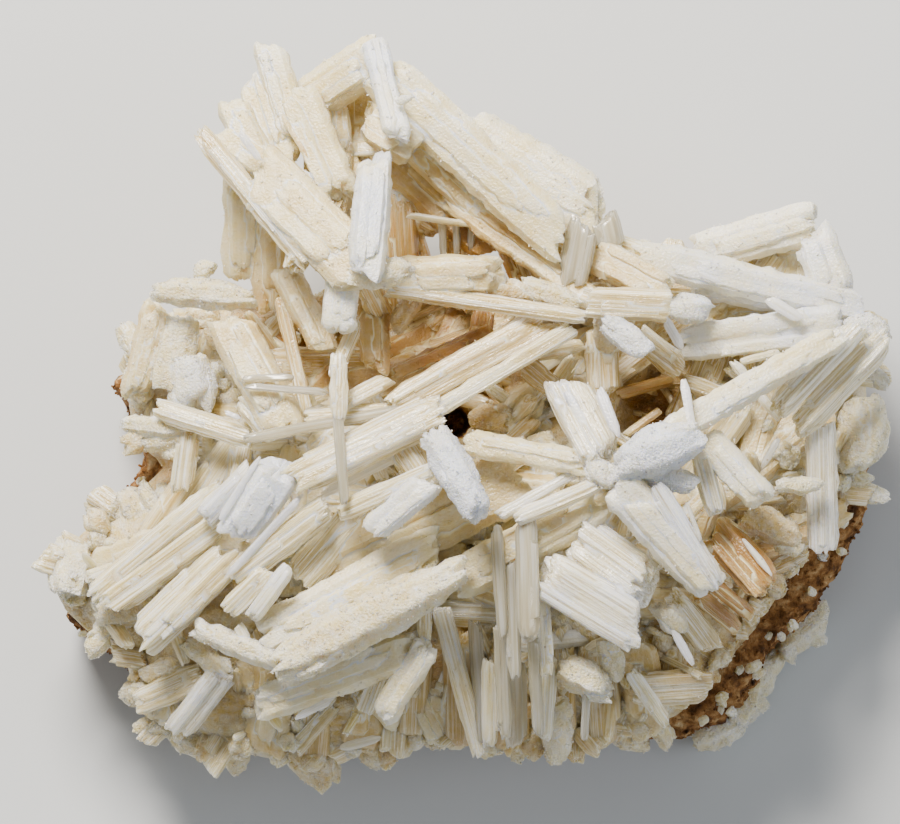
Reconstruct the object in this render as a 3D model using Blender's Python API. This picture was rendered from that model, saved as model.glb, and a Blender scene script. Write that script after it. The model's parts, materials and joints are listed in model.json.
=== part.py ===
"""A jackstraw cerussite cluster on its matrix, as faceted closed solids.

The specimen lies on the flat sawn underside of a slab of brown gossan. White
lead carbonate crystals have grown over the slab in every direction, and two
arms of them, at the upper left and the top, reach out past the slab's edge.

Crystals are written in sheet millimetres: x runs to the right and y runs down
the view from above, and z is the height over the table. place() turns them
into world metres, with the origin on the underside of the slab.
"""

import math
import random

import bmesh
import bpy
from mathutils import Matrix, Vector

MM = 0.001
# Sheet point that stands over the world origin.
SHEET_X = 47.3
SHEET_Y = 41.4
# Clear space between two touching nodes.
NODE_GAP = 0.3
# Thickness of a crystal over its width, unless its entry says otherwise.
FLATNESS = 0.72
# Crystals at least this wide get six sides, narrower ones four.
SIX_SIDED_FROM = 3.3
# Width left at a crystal's far end.
TIP_TAPER = 0.88
# How far an end face leans along the crystal, per millimetre across it.
END_SLANT = 0.45
# How far a crystal is turned about its own length, in radians.
ROLL = 0.25

# Colour and roughness of each material.
CERUSSITE_LOOK = ((0.78, 0.72, 0.60), 0.30)
GOSSAN_LOOK = ((0.16, 0.08, 0.035), 0.85)
CRUST_LOOK = ((0.70, 0.65, 0.56), 0.35)

# The gossan slab: its outline, then the height, outline scale and roughness of each level.
SLAB_OUTLINE = [
    (11.0, 38.5), (13.0, 33.5), (18.0, 31.0), (28.0, 32.0), (38.0, 33.0), (50.0, 32.0),
    (58.0, 29.0), (66.0, 27.0), (76.0, 26.0), (82.0, 29.0), (85.5, 35.0), (87.2, 42.0),
    (87.3, 50.0), (84.5, 57.0), (81.0, 62.0), (77.0, 65.6), (75.5, 69.0), (73.0, 72.5),
    (68.0, 74.3), (60.0, 73.0), (46.0, 73.0), (38.0, 73.0), (30.0, 75.0), (20.0, 73.5),
    (13.5, 69.5), (11.5, 67.0), (8.0, 65.2), (5.3, 62.5), (6.8, 56.5), (10.5, 51.0),
    (13.2, 46.5), (11.8, 42.0),
]
SLAB_LEVELS = [
    (0.0, 0.95, 0.0),
    (2.2, 0.985, 0.3),
    (5.8, 1.0, 0.45),
    (9.2, 0.985, 0.45),
    (11.2, 0.93, 0.4),
    (12.0, 0.72, 0.3),
]
SLAB_MIDDLE = (47.5, 51.0)

# The mound of intergrown crystals under the free ones.
MOUND_OUTLINE = [
    (17.0, 32.0), (22.0, 29.8), (28.0, 30.5), (34.0, 30.5), (42.0, 28.2), (50.0, 28.6),
    (56.0, 26.6), (61.0, 25.5), (68.0, 25.5), (74.0, 24.5), (80.0, 24.5), (84.0, 28.0),
    (86.3, 33.0), (86.8, 40.0), (87.0, 46.5), (85.3, 50.2), (80.5, 55.5), (76.0, 62.5),
    (72.5, 66.5), (68.0, 71.5), (62.0, 74.0), (55.0, 74.3), (47.0, 74.2), (38.0, 74.5),
    (30.0, 76.5), (22.0, 75.0), (16.0, 73.5), (13.5, 70.0), (12.5, 66.0), (9.0, 63.5),
    (6.2, 60.8), (5.4, 58.0), (7.0, 54.5), (10.5, 51.0), (14.0, 49.0), (16.5, 46.6),
    (13.8, 44.5), (12.8, 41.0), (12.9, 36.0),
]
MOUND_LEVELS = [
    (8.0, 0.96, 0.3),
    (11.5, 1.0, 0.5),
    (15.0, 0.93, 0.6),
    (18.0, 0.80, 0.7),
    (20.5, 0.58, 0.8),
    (21.5, 0.30, 0.8),
]
MOUND_MIDDLE = (48.0, 51.0)

# Every crystal below is (one end), (other end), width, and for some a thickness.
UPPER_LEFT_ARM = [
    ((25.5, 17.0, 28.0), (37.3, 28.3, 33.0), 6.6, 3.2),
    ((19.9, 13.2, 27.0), (31.0, 26.6, 31.0), 2.6),
    ((22.0, 13.5, 25.0), (31.0, 19.0, 27.0), 3.2),
    ((23.2, 10.3, 24.0), (26.5, 17.5, 26.0), 3.6),
    ((26.9, 4.6, 23.0), (29.5, 14.0, 25.0), 3.4),
    ((25.6, 7.4, 22.0), (28.6, 17.0, 24.5), 4.2),
    ((29.8, 9.4, 25.0), (34.4, 19.8, 27.0), 4.2),
    ((37.6, 15.6, 31.0), (36.6, 28.0, 35.5), 3.9, 3.6),
    ((35.0, 27.5, 34.0), (41.0, 27.2, 33.0), 3.4),
    ((34.4, 27.0, 30.0), (33.8, 33.3, 30.5), 3.4),
    ((24.3, 16.0, 21.0), (24.4, 28.0, 17.0), 4.2),
    ((27.0, 20.0, 19.0), (27.5, 31.0, 18.0), 4.5),
    ((28.5, 27.0, 22.0), (32.5, 35.0, 24.0), 3.2),
    ((28.0, 29.5, 22.0), (30.8, 41.8, 24.0), 1.5),
    ((27.5, 13.0, 22.0), (27.0, 22.0, 18.0), 4.6),
    ((31.0, 19.0, 20.0), (29.8, 26.6, 31.0), 3.0),
    ((33.4, 14.6, 19.0), (36.2, 24.0, 21.0), 5.2, 3.2),
    ((31.4, 12.0, 20.0), (32.6, 20.0, 20.0), 3.4),
    ((36.0, 27.0, 31.0), (38.5, 32.0, 22.0), 3.0),
]
TOP_ARM = [
    ((37.5, 4.2, 26.0), (39.8, 14.0, 31.0), 2.6),
    ((37.8, 6.9, 25.0), (56.3, 24.3, 27.0), 5.4, 3.0),
    ((45.6, 12.9, 20.0), (60.2, 21.6, 22.0), 6.6, 3.0),
    ((31.3, 9.9, 22.0), (38.0, 5.3, 25.0), 4.8),
    ((32.5, 8.2, 22.0), (33.5, 16.0, 20.5), 3.8),
    ((35.4, 7.0, 18.5), (35.2, 17.0, 18.0), 6.4, 3.0),
    ((32.5, 14.9, 19.0), (40.5, 14.5, 21.0), 2.0),
    ((40.5, 14.0, 22.0), (49.5, 22.5, 22.0), 3.2),
    ((41.0, 15.0, 20.0), (56.0, 26.0, 22.0), 2.5),
    ((44.5, 19.5, 21.0), (60.5, 31.0, 27.0), 3.0),
    ((49.0, 20.5, 22.0), (57.0, 26.0, 23.0), 2.4),
    ((58.3, 22.3, 26.0), (57.0, 29.0, 26.0), 3.2),
    ((60.5, 21.8, 24.0), (61.2, 24.8, 24.0), 3.0),
    ((59.5, 25.5, 24.0), (66.6, 29.3, 26.0), 4.0),
    ((36.8, 12.0, 24.0), (41.4, 15.0, 26.0), 4.4, 6.0),
    ((34.0, 14.5, 19.0), (33.2, 22.0, 27.0), 3.0),
    ((38.6, 14.8, 19.5), (49.8, 25.0, 19.0), 5.0, 3.2),
    ((38.2, 18.6, 18.0), (44.6, 22.6, 18.0), 4.4, 3.2),
    ((39.8, 19.0, 18.5), (40.4, 29.5, 18.5), 3.8),
    ((45.6, 22.6, 18.0), (46.0, 31.0, 18.5), 2.6),
    ((50.6, 20.5, 19.5), (54.2, 30.5, 19.5), 4.6),
    ((54.8, 22.5, 19.5), (56.6, 31.0, 19.5), 4.4),
    ((56.0, 20.0, 21.0), (61.5, 27.5, 20.0), 3.4),
]
UNDER_TOP_ARM = [
    ((38.5, 27.8, 27.0), (50.0, 27.4, 28.0), 4.0),
    ((48.0, 28.8, 27.0), (53.0, 29.3, 26.0), 2.5),
    ((38.5, 28.8, 26.0), (58.8, 31.8, 29.5), 2.0),
    ((59.0, 30.2, 30.0), (67.0, 30.6, 30.0), 3.4),
    ((52.3, 28.6, 26.0), (58.0, 30.5, 27.0), 2.6),
    ((58.0, 29.5, 27.0), (63.6, 31.6, 27.0), 2.2),
    ((60.5, 32.2, 30.0), (64.6, 35.4, 31.0), 3.2),
    ((60.0, 33.0, 24.0), (60.3, 40.0, 24.0), 3.4),
    ((53.5, 35.5, 24.0), (58.4, 34.4, 25.0), 1.5),
    ((37.0, 29.6, 23.0), (37.6, 37.0, 25.0), 3.4),
    ((39.5, 33.0, 25.0), (41.8, 28.8, 26.0), 2.4),
    ((35.7, 32.3, 27.0), (33.2, 38.0, 30.5), 1.7),
    ((60.5, 31.0, 30.0), (60.5, 36.5, 21.0), 3.0),
]
CENTRE = [
    ((29.3, 48.2, 30.0), (44.5, 40.8, 31.0), 4.4),
    ((39.0, 40.8, 29.0), (55.0, 32.0, 27.0), 3.6),
    ((41.5, 42.3, 31.0), (57.2, 32.8, 28.0), 1.9),
    ((40.0, 44.5, 29.0), (43.0, 49.0, 29.0), 3.5),
    ((30.5, 41.8, 27.0), (40.5, 41.2, 29.0), 2.4),
    ((24.2, 44.0, 29.0), (41.0, 40.8, 30.0), 1.4),
    ((33.9, 35.5, 31.0), (33.8, 42.0, 32.0), 2.0),
    ((33.7, 40.0, 32.0), (34.5, 50.5, 32.0), 1.4),
    ((34.6, 40.2, 29.0), (39.0, 37.9, 28.0), 1.8),
    ((37.5, 38.8, 22.0), (50.0, 33.5, 21.0), 3.0),
    ((48.5, 31.0, 20.0), (47.8, 35.0, 20.0), 2.5),
    ((22.8, 32.0, 24.0), (29.0, 43.5, 27.0), 4.8),
    ((24.0, 40.0, 25.0), (27.5, 44.0, 27.0), 2.2),
    ((33.0, 56.5, 23.0), (52.0, 47.5, 24.0), 7.0),
    ((30.0, 58.0, 25.0), (36.0, 51.0, 25.0), 4.0),
    ((46.0, 58.0, 26.0), (60.0, 50.5, 27.0), 4.6),
    ((37.2, 53.0, 31.0), (43.0, 48.2, 33.0), 3.0),
    ((33.8, 51.3, 30.0), (43.5, 47.0, 32.5), 2.4),
    ((43.2, 43.0, 32.0), (48.0, 51.5, 35.0), 4.2),
    ((46.5, 44.2, 28.0), (58.6, 46.4, 30.0), 2.8),
    ((49.8, 51.6, 30.0), (57.5, 47.2, 29.0), 1.4),
    ((51.3, 52.0, 30.5), (60.0, 48.3, 30.0), 2.0),
    ((56.5, 38.5, 27.0), (60.5, 46.0, 30.0), 4.6),
    ((59.8, 38.8, 28.0), (61.8, 43.8, 30.0), 1.4),
    ((52.5, 36.5, 24.0), (55.5, 39.0, 24.0), 2.6),
    ((47.5, 42.0, 21.0), (51.0, 42.0, 22.0), 3.4),
]
LEFT_SIDE = [
    ((15.2, 29.0, 22.0), (25.4, 29.6, 24.0), 3.4),
    ((15.8, 30.5, 19.0), (13.4, 39.5, 18.0), 3.2),
    ((18.3, 31.8, 19.0), (16.6, 38.5, 19.0), 5.0),
    ((18.8, 36.0, 20.0), (19.5, 41.0, 20.0), 5.5),
    ((12.3, 32.5, 17.0), (14.3, 35.5, 18.0), 2.6),
    ((12.6, 37.0, 17.0), (14.6, 40.0, 17.0), 3.0),
    ((12.5, 42.3, 19.0), (19.0, 43.0, 21.0), 2.4),
    ((15.5, 40.8, 21.0), (25.0, 43.8, 24.0), 2.6),
    ((14.3, 44.5, 18.8), (18.5, 43.6, 20.0), 2.0),
    ((16.5, 45.0, 18.8), (19.6, 46.0, 20.5), 2.0),
    ((19.0, 43.2, 20.5), (18.2, 49.0, 20.0), 2.6),
    ((14.2, 48.3, 15.0), (16.8, 53.0, 15.0), 2.4),
    ((12.5, 49.0, 13.0), (14.8, 53.0, 14.0), 4.5),
    ((8.5, 51.0, 12.0), (13.5, 51.5, 13.5), 2.5),
    ((7.5, 54.0, 14.0), (6.8, 59.5, 16.0), 5.0),
    ((8.8, 59.9, 20.0), (22.5, 48.5, 25.0), 2.8),
    ((11.0, 60.6, 21.0), (22.0, 52.6, 24.5), 3.4),
    ((20.5, 51.9, 27.0), (25.3, 46.9, 28.5), 2.8),
    ((23.8, 53.2, 28.0), (28.2, 46.6, 29.5), 4.6),
    ((14.2, 64.0, 22.0), (22.5, 56.0, 25.0), 4.6),
    ((16.8, 62.6, 24.0), (24.0, 55.5, 27.0), 2.6),
    ((23.5, 57.5, 27.0), (32.9, 50.5, 30.0), 3.4),
    ((22.8, 61.2, 27.5), (27.0, 57.0, 29.0), 2.4),
    ((25.2, 61.8, 28.0), (29.0, 56.6, 30.0), 1.8),
    ((19.2, 62.6, 25.0), (28.0, 66.2, 27.5), 2.6),
    ((18.5, 64.0, 19.0), (22.8, 67.5, 20.5), 2.6),
    ((17.8, 73.0, 16.0), (22.3, 67.3, 21.0), 3.2),
    ((13.6, 70.5, 15.0), (20.5, 67.5, 18.0), 3.2),
    ((13.5, 72.6, 11.0), (17.0, 72.9, 12.0), 2.4),
    ((14.3, 67.5, 14.5), (18.4, 66.5, 16.0), 2.6),
    ((8.5, 58.5, 13.0), (16.0, 55.0, 17.0), 4.5, 5.0),
    ((9.5, 61.0, 14.0), (16.0, 60.5, 18.0), 4.5, 5.0),
]
RIGHT_SIDE = [
    ((61.5, 46.4, 33.0), (69.5, 43.6, 33.0), 5.4),
    ((66.0, 43.8, 32.0), (84.0, 33.5, 26.0), 3.0),
    ((61.5, 48.2, 32.0), (71.2, 58.8, 29.0), 4.4),
    ((64.0, 47.0, 31.0), (69.5, 48.5, 31.0), 3.0),
    ((69.8, 45.2, 30.0), (71.5, 51.5, 29.0), 2.4),
    ((66.4, 47.4, 31.5), (64.8, 50.8, 17.0), 3.2),
    ((70.3, 43.5, 29.0), (76.3, 50.2, 29.0), 3.3),
    ((77.5, 48.5, 25.0), (82.1, 48.5, 23.0), 2.0),
    ((74.6, 51.5, 24.0), (79.5, 54.0, 22.0), 4.0),
    ((71.8, 53.2, 24.0), (76.8, 59.0, 25.0), 4.6),
    ((82.0, 42.5, 21.0), (82.3, 55.0, 19.0), 3.4),
    ((86.5, 40.0, 15.0), (86.0, 47.0, 16.0), 6.0),
    ((83.8, 35.0, 14.0), (89.0, 38.5, 14.0), 2.8),
    ((84.5, 48.3, 13.5), (88.5, 50.0, 13.0), 2.4),
    ((77.5, 41.0, 26.0), (85.6, 32.5, 24.0), 3.0),
    ((79.5, 43.0, 23.0), (88.8, 33.5, 21.0), 3.4),
    ((84.5, 32.5, 21.5), (88.8, 32.9, 20.0), 3.0),
    ((63.6, 25.6, 22.5), (85.8, 30.6, 20.0), 3.8),
    ((69.5, 28.3, 19.0), (78.0, 30.0, 19.0), 3.0),
    ((67.5, 34.5, 22.0), (84.5, 32.2, 21.0), 4.0),
    ((68.3, 38.0, 21.0), (73.0, 39.8, 21.5), 2.0),
    ((69.6, 25.4, 15.5), (81.7, 22.0, 18.0), 4.6),
    ((81.3, 23.6, 19.5), (83.6, 29.6, 20.0), 4.4),
    ((61.0, 24.3, 22.0), (66.0, 26.0, 22.0), 2.6),
    ((67.2, 31.0, 25.0), (70.5, 31.0, 24.0), 3.4, 4.0),
    ((63.5, 33.5, 24.0), (68.0, 37.0, 23.0), 3.0),
]
BOTTOM_SIDE = [
    ((27.0, 67.0, 28.0), (46.8, 56.6, 30.0), 5.6),
    ((26.0, 63.8, 26.0), (44.0, 54.5, 26.0), 4.6),
    ((44.0, 60.5, 24.0), (48.0, 75.4, 17.0), 2.2),
    ((42.8, 64.4, 26.0), (38.1, 71.9, 24.0), 2.8),
    ((25.5, 70.7, 22.0), (42.0, 64.6, 25.0), 4.0),
    ((36.5, 71.0, 21.0), (38.0, 67.0, 23.0), 2.0),
    ((29.0, 72.0, 12.0), (32.5, 78.5, 10.0), 5.0),
    ((24.0, 72.5, 12.0), (23.0, 77.0, 10.0), 3.3),
    ((16.0, 72.0, 12.0), (22.0, 75.3, 11.0), 4.0),
    ((36.3, 73.0, 12.0), (37.3, 77.0, 10.0), 2.8),
    ((47.5, 62.0, 22.0), (48.3, 74.5, 18.0), 1.6),
    ((49.6, 52.5, 29.0), (50.3, 63.8, 28.0), 1.5),
    ((50.0, 62.0, 27.0), (50.5, 74.0, 23.0), 1.6),
    ((51.0, 56.0, 28.0), (51.4, 67.8, 27.0), 1.6),
    ((52.6, 51.8, 29.5), (52.9, 64.0, 30.0), 2.5),
    ((53.3, 63.5, 28.0), (53.8, 73.5, 23.0), 1.5),
    ((54.0, 59.0, 27.0), (54.6, 67.5, 26.0), 1.8),
    ((51.5, 66.0, 25.0), (51.6, 74.5, 19.0), 2.3),
    ((49.0, 66.0, 22.0), (49.0, 74.8, 18.0), 1.8),
    ((55.0, 66.0, 24.0), (54.5, 74.0, 20.0), 1.8),
    ((55.8, 70.0, 20.0), (55.8, 76.2, 17.0), 3.3),
    ((54.5, 57.0, 29.0), (64.0, 62.8, 28.0), 5.2),
    ((57.5, 53.5, 27.0), (64.8, 58.8, 28.0), 5.6),
    ((56.0, 66.5, 23.0), (61.0, 69.0, 23.0), 4.0, 5.0),
    ((60.5, 64.0, 24.0), (62.0, 67.5, 23.0), 2.6),
    ((66.0, 60.5, 24.0), (68.2, 63.0, 23.0), 3.0),
    ((63.0, 67.0, 24.0), (66.8, 72.6, 20.0), 1.8),
    ((67.2, 59.8, 22.0), (71.2, 65.0, 18.5), 3.0),
    ((63.5, 69.0, 20.0), (71.0, 68.6, 17.0), 4.0),
    ((69.8, 59.5, 21.2), (74.0, 63.0, 18.8), 1.8),
    ((70.8, 58.0, 23.0), (75.0, 61.5, 21.0), 1.8),
    ((61.0, 73.2, 12.0), (65.0, 74.6, 10.0), 2.6),
    ((65.0, 71.5, 13.0), (67.0, 74.5, 10.0), 2.6),
    ((41.0, 72.5, 12.0), (45.0, 74.5, 10.0), 2.6),
    ((50.5, 72.5, 12.0), (52.0, 76.0, 10.0), 2.6),
]
# The far side of the slab carries a crust of stubby crystals past the brown rim.
CRUST = [
    ((69.5, 74.2, 3.2), (74.2, 72.4, 3.4), 3.6, 4.6),
    ((73.2, 73.2, 3.4), (75.6, 68.0, 3.4), 3.8, 4.6),
    ((75.2, 69.2, 3.4), (78.0, 64.8, 3.4), 3.8, 4.6),
    ((78.0, 64.6, 3.4), (82.4, 61.4, 3.2), 4.6, 4.6),
    ((72.0, 72.0, 4.0), (73.4, 74.4, 4.4), 2.2),
    ((74.8, 69.8, 3.6), (76.6, 71.0, 3.4), 2.2),
    ((78.4, 64.2, 4.0), (79.6, 66.0, 4.4), 2.2),
    ((80.2, 62.8, 3.6), (82.2, 64.4, 3.4), 2.4),
]

# Leaning crystals that rise from the mound and carry the free ones.
RISER_SEED = 11
RISER_COUNT = 52
RISER_ROOT_Z = 15.0
RISER_TOP_Z = (23.0, 27.5)
RISER_REACH = (1.2, 6.0)
# Where their roots may stand, and how far from the mound's middle their tops may be.
RISER_AREA_X = (17.0, 83.0)
RISER_AREA_Y = (30.0, 72.0)
RISER_ZONE = (33.48, 20.46)
RISER_WIDTH = (2.0, 3.4)
# Hollows that stay free of risers: sheet x, sheet y and radius.
HOLLOWS = [(44.5, 34.0, 6.5), (65.0, 40.0, 4.0), (45.5, 42.5, 2.5)]

STONE_SEED = 5
# Rise of a stone's top in its middle, and how far below the table its cutting tool reaches.
TOP_RISE = 0.3
TOOL_DROP = 0.6


def clear_scene():
    """Leave nothing of the start-up scene."""
    for thing in list(bpy.data.objects):
        bpy.data.objects.remove(thing)


def collection(name):
    """A collection linked to the scene."""
    made = bpy.data.collections.new(name)
    bpy.context.scene.collection.children.link(made)
    return made


def place(point):
    """World metres of a sheet point in millimetres."""
    x, y, z = point
    return Vector(((x - SHEET_X) * MM, (SHEET_Y - y) * MM, z * MM))


def material(name, look):
    """A plain stone material."""
    colour, roughness = look
    made = bpy.data.materials.new(name)
    made.use_nodes = True
    shader = made.node_tree.nodes["Principled BSDF"]
    shader.inputs["Base Color"].default_value = (*colour, 1.0)
    shader.inputs["Roughness"].default_value = roughness
    shader.inputs["Metallic"].default_value = 0.0
    return made


def add_object(name, shape, home, look=None):
    """Put a bmesh in the scene as an object of the home collection."""
    mesh = bpy.data.meshes.new(name)
    shape.to_mesh(mesh)
    shape.free()
    made = bpy.data.objects.new(name, mesh)
    home.objects.link(made)
    if look:
        mesh.materials.append(look)
    return made


def crystal(entry, rng):
    """One prism from end to end, flat across, with both end faces leaning."""
    start = place(entry[0])
    end = place(entry[1])
    width = entry[2] * MM
    thickness = entry[3] * MM if len(entry) > 3 else width * FLATNESS
    sides = 6 if entry[2] >= SIX_SIDED_FROM else 4
    axis = end - start
    length = axis.length
    shape = bmesh.new()
    bmesh.ops.create_cone(
        shape,
        cap_ends=True,
        cap_tris=False,
        segments=sides,
        radius1=0.5,
        radius2=0.5 * TIP_TAPER,
        depth=1.0,
    )
    # Four sides turn half a step so that a face, not an edge, looks up.
    turn = math.pi / 4 if sides == 4 else math.pi / 6 * rng.choice((0, 1))
    bmesh.ops.rotate(shape, cent=(0, 0, 0), matrix=Matrix.Rotation(turn, 3, "Z"), verts=shape.verts)
    span_x = max(v.co.x for v in shape.verts) * 2
    span_y = max(v.co.y for v in shape.verts) * 2
    lean = {1: rng.uniform(-END_SLANT, END_SLANT), -1: rng.uniform(-END_SLANT, END_SLANT)}
    for v in shape.verts:
        side = 1 if v.co.z > 0 else -1
        v.co.x *= width / span_x
        v.co.y *= thickness / span_y
        v.co.z = v.co.z * length + lean[side] * v.co.x
    forward = axis.normalized()
    across = Vector((0, 0, 1)).cross(forward).normalized()
    upward = forward.cross(across)
    turn_to = Matrix((across, upward, forward)).transposed().to_4x4()
    roll = Matrix.Rotation(rng.uniform(-ROLL, ROLL), 4, "Z")
    shape.transform(Matrix.Translation((start + end) / 2) @ turn_to @ roll)
    return shape


def layered_stone(outline, levels, middle, grow):
    """A lumpy stone: the outline lofted level by level, flat underneath.

    grow swells it on every side, for the tool that clears a gap around it.
    """
    rng = random.Random(STONE_SEED)
    shape = bmesh.new()
    rings = []
    for z, scale, rough in levels:
        ring = []
        for x, y in outline:
            px = middle[0] + (x - middle[0]) * scale
            py = middle[1] + (y - middle[1]) * scale
            px += rng.uniform(-rough, rough)
            py += rng.uniform(-rough, rough)
            ring.append(shape.verts.new(place((px, py, z + rng.uniform(-rough, rough)))))
        rings.append(ring)
    count = len(outline)
    for lower, upper in zip(rings, rings[1:]):
        for k in range(count):
            shape.faces.new((lower[k], lower[k - 1], upper[k - 1], upper[k]))
    shape.faces.new(rings[0])
    top = shape.verts.new(place((*middle, levels[-1][0] + TOP_RISE)))
    for k in range(count):
        shape.faces.new((rings[-1][k], rings[-1][k - 1], top))
    if shape.calc_volume(signed=True) < 0:
        bmesh.ops.reverse_faces(shape, faces=shape.faces)
    # Triangles here, so that the swollen copy follows the stone face by face.
    bmesh.ops.triangulate(shape, faces=shape.faces)
    if grow:
        shape.normal_update()
        moves = [v.normal * grow * MM for v in shape.verts]
        for v, move in zip(shape.verts, moves):
            v.co += move
        for v in rings[0]:
            v.co.z = -TOOL_DROP * MM
    return shape


def union_with(target, operands):
    """Join every shape of a collection to the target."""
    step = target.modifiers.new("grown together", "BOOLEAN")
    step.operation = "UNION"
    step.operand_type = "COLLECTION"
    step.collection = operands
    step.solver = "EXACT"


def cut_with(target, tool, name):
    """Take a tool's volume off the target."""
    step = target.modifiers.new(name, "BOOLEAN")
    step.operation = "DIFFERENCE"
    step.object = tool
    step.solver = "EXACT"


def keep_main_body(target):
    """Settle the modifiers, then drop sealed pockets and loose chips."""
    graph = bpy.context.evaluated_depsgraph_get()
    settled = bpy.data.meshes.new_from_object(target.evaluated_get(graph))
    target.modifiers.clear()
    shape = bmesh.new()
    shape.from_mesh(settled)
    unseen = set(shape.verts)
    bodies = []
    while unseen:
        front = [unseen.pop()]
        body = list(front)
        while front:
            v = front.pop()
            for edge in v.link_edges:
                other = edge.other_vert(v)
                if other in unseen:
                    unseen.remove(other)
                    front.append(other)
                    body.append(other)
        bodies.append(body)
    bodies.sort(key=len)
    for body in bodies[:-1]:
        bmesh.ops.delete(shape, geom=body, context="VERTS")
    shape.to_mesh(target.data)
    shape.free()
    print(target.name, "kept", len(bodies[-1]), "corners, dropped", [len(b) for b in bodies[:-1]])


def in_outline(x, y, outline):
    """Whether a sheet point lies inside an outline."""
    inside = False
    for (ax, ay), (bx, by) in zip(outline, outline[1:] + outline[:1]):
        if (ay > y) != (by > y) and x < ax + (y - ay) / (by - ay) * (bx - ax):
            inside = not inside
    return inside


def risers():
    """Seeded crystals that lean out of the mound, clear of the hollows."""
    rng = random.Random(RISER_SEED)
    made = []
    while len(made) < RISER_COUNT:
        x = rng.uniform(*RISER_AREA_X)
        y = rng.uniform(*RISER_AREA_Y)
        heading = rng.uniform(0, math.tau)
        reach = rng.uniform(*RISER_REACH)
        tip = (x + reach * math.cos(heading), y + reach * math.sin(heading))
        root_inside = in_outline(x, y, MOUND_OUTLINE)
        near = [math.hypot(p[0] - h[0], p[1] - h[1]) < h[2] for p in ((x, y), tip) for h in HOLLOWS]
        # The corners of the mound are low, so a riser keeps to its upper part.
        side_x = (tip[0] - MOUND_MIDDLE[0]) / RISER_ZONE[0]
        side_y = (tip[1] - MOUND_MIDDLE[1]) / RISER_ZONE[1]
        if not root_inside or any(near) or math.hypot(side_x, side_y) > 1.0:
            continue
        top = rng.uniform(*RISER_TOP_Z)
        width = rng.uniform(*RISER_WIDTH)
        made.append(((x, y, RISER_ROOT_Z), (*tip, top), width))
    return made


def build():
    """Model the three nodes."""
    clear_scene()
    parts = collection("cerussite specimen")
    tools = collection("tools")
    crystals = collection("crystals to join")
    crust_crystals = collection("crust crystals to join")
    white = material("cerussite", CERUSSITE_LOOK)
    brown = material("gossan", GOSSAN_LOOK)
    pale = material("crust cerussite", CRUST_LOOK)

    slab = layered_stone(SLAB_OUTLINE, SLAB_LEVELS, SLAB_MIDDLE, 0)
    add_object("gossan_matrix", slab, parts, brown)
    clearance = layered_stone(SLAB_OUTLINE, SLAB_LEVELS, SLAB_MIDDLE, NODE_GAP)
    room = add_object("room for the slab", clearance, tools)

    mound = layered_stone(MOUND_OUTLINE, MOUND_LEVELS, MOUND_MIDDLE, 0)
    cluster = add_object("crystal_cluster", mound, parts, white)
    rng = random.Random(RISER_SEED)
    groups = UPPER_LEFT_ARM + TOP_ARM + UNDER_TOP_ARM + CENTRE + LEFT_SIDE + RIGHT_SIDE
    for entry in groups + BOTTOM_SIDE + risers():
        add_object("crystal", crystal(entry, rng), crystals)
    union_with(cluster, crystals)
    cut_with(cluster, room, "seat on the slab")
    keep_main_body(cluster)

    crust = add_object("underside_crust", crystal(CRUST[0], rng), parts, pale)
    for entry in CRUST[1:]:
        add_object("crust crystal", crystal(entry, rng), crust_crystals)
    union_with(crust, crust_crystals)
    cut_with(crust, room, "seat on the slab")
    keep_main_body(crust)

    for group in (tools, crystals, crust_crystals):
        for thing in group.objects:
            thing.hide_render = True
            thing.display_type = "WIRE"


build()
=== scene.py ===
# %% [markdown]
# # A jackstraw cerussite cluster on gossan
#
# White lead carbonate crystals lie across each other in every direction, on a
# slab of brown gossan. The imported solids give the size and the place. This
# script dresses them: every larger crystal is a few fluted planks fused into
# one mesh, so that its faces are stepped and its ends are broken. Smaller ones
# are seeded on the mound under them, and sugary grains are grown on their skins
# with Geometry Nodes.
#
# Crystals are written in sheet millimetres: x to the right and y down the view
# from above, z the height over the table.

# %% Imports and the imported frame
import json
import math
import random

import bpy
import numpy as np
from mathutils import Matrix, Vector, noise

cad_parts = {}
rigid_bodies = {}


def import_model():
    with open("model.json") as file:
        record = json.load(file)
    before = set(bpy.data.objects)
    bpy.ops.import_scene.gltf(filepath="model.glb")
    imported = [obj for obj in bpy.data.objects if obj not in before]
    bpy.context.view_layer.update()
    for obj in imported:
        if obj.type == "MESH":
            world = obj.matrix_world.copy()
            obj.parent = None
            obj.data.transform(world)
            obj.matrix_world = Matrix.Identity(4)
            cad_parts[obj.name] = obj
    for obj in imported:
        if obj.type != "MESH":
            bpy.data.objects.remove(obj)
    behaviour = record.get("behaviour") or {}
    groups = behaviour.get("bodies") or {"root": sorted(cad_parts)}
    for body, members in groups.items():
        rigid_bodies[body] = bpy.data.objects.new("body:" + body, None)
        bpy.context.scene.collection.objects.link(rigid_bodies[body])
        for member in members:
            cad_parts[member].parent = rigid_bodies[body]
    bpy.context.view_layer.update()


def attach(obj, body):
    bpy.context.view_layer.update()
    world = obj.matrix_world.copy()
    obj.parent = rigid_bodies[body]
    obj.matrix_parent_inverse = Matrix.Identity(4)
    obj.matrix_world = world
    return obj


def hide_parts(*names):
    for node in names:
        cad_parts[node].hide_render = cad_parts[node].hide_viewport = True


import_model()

# %% [markdown]
# ## Sizes and small helpers
#
# Meshes are built in millimetres and shrunk to metres at the end.

# %% Sizes and helpers
MM = 0.001
# Sheet point that stands over the world's origin.
SHEET_X = 47.3
SHEET_Y = 41.4
# Thickness of a crystal over its width, unless its row says otherwise.
FLATNESS = 0.72
# Width of the picture, in sheet millimetres.
VIEW_MM_WIDE = 90.0
SEED = 7903

rng = random.Random(SEED)


def place(x, y, z):
    """Model millimetres of a sheet point."""
    return Vector((x - SHEET_X, SHEET_Y - y, z))


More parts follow.
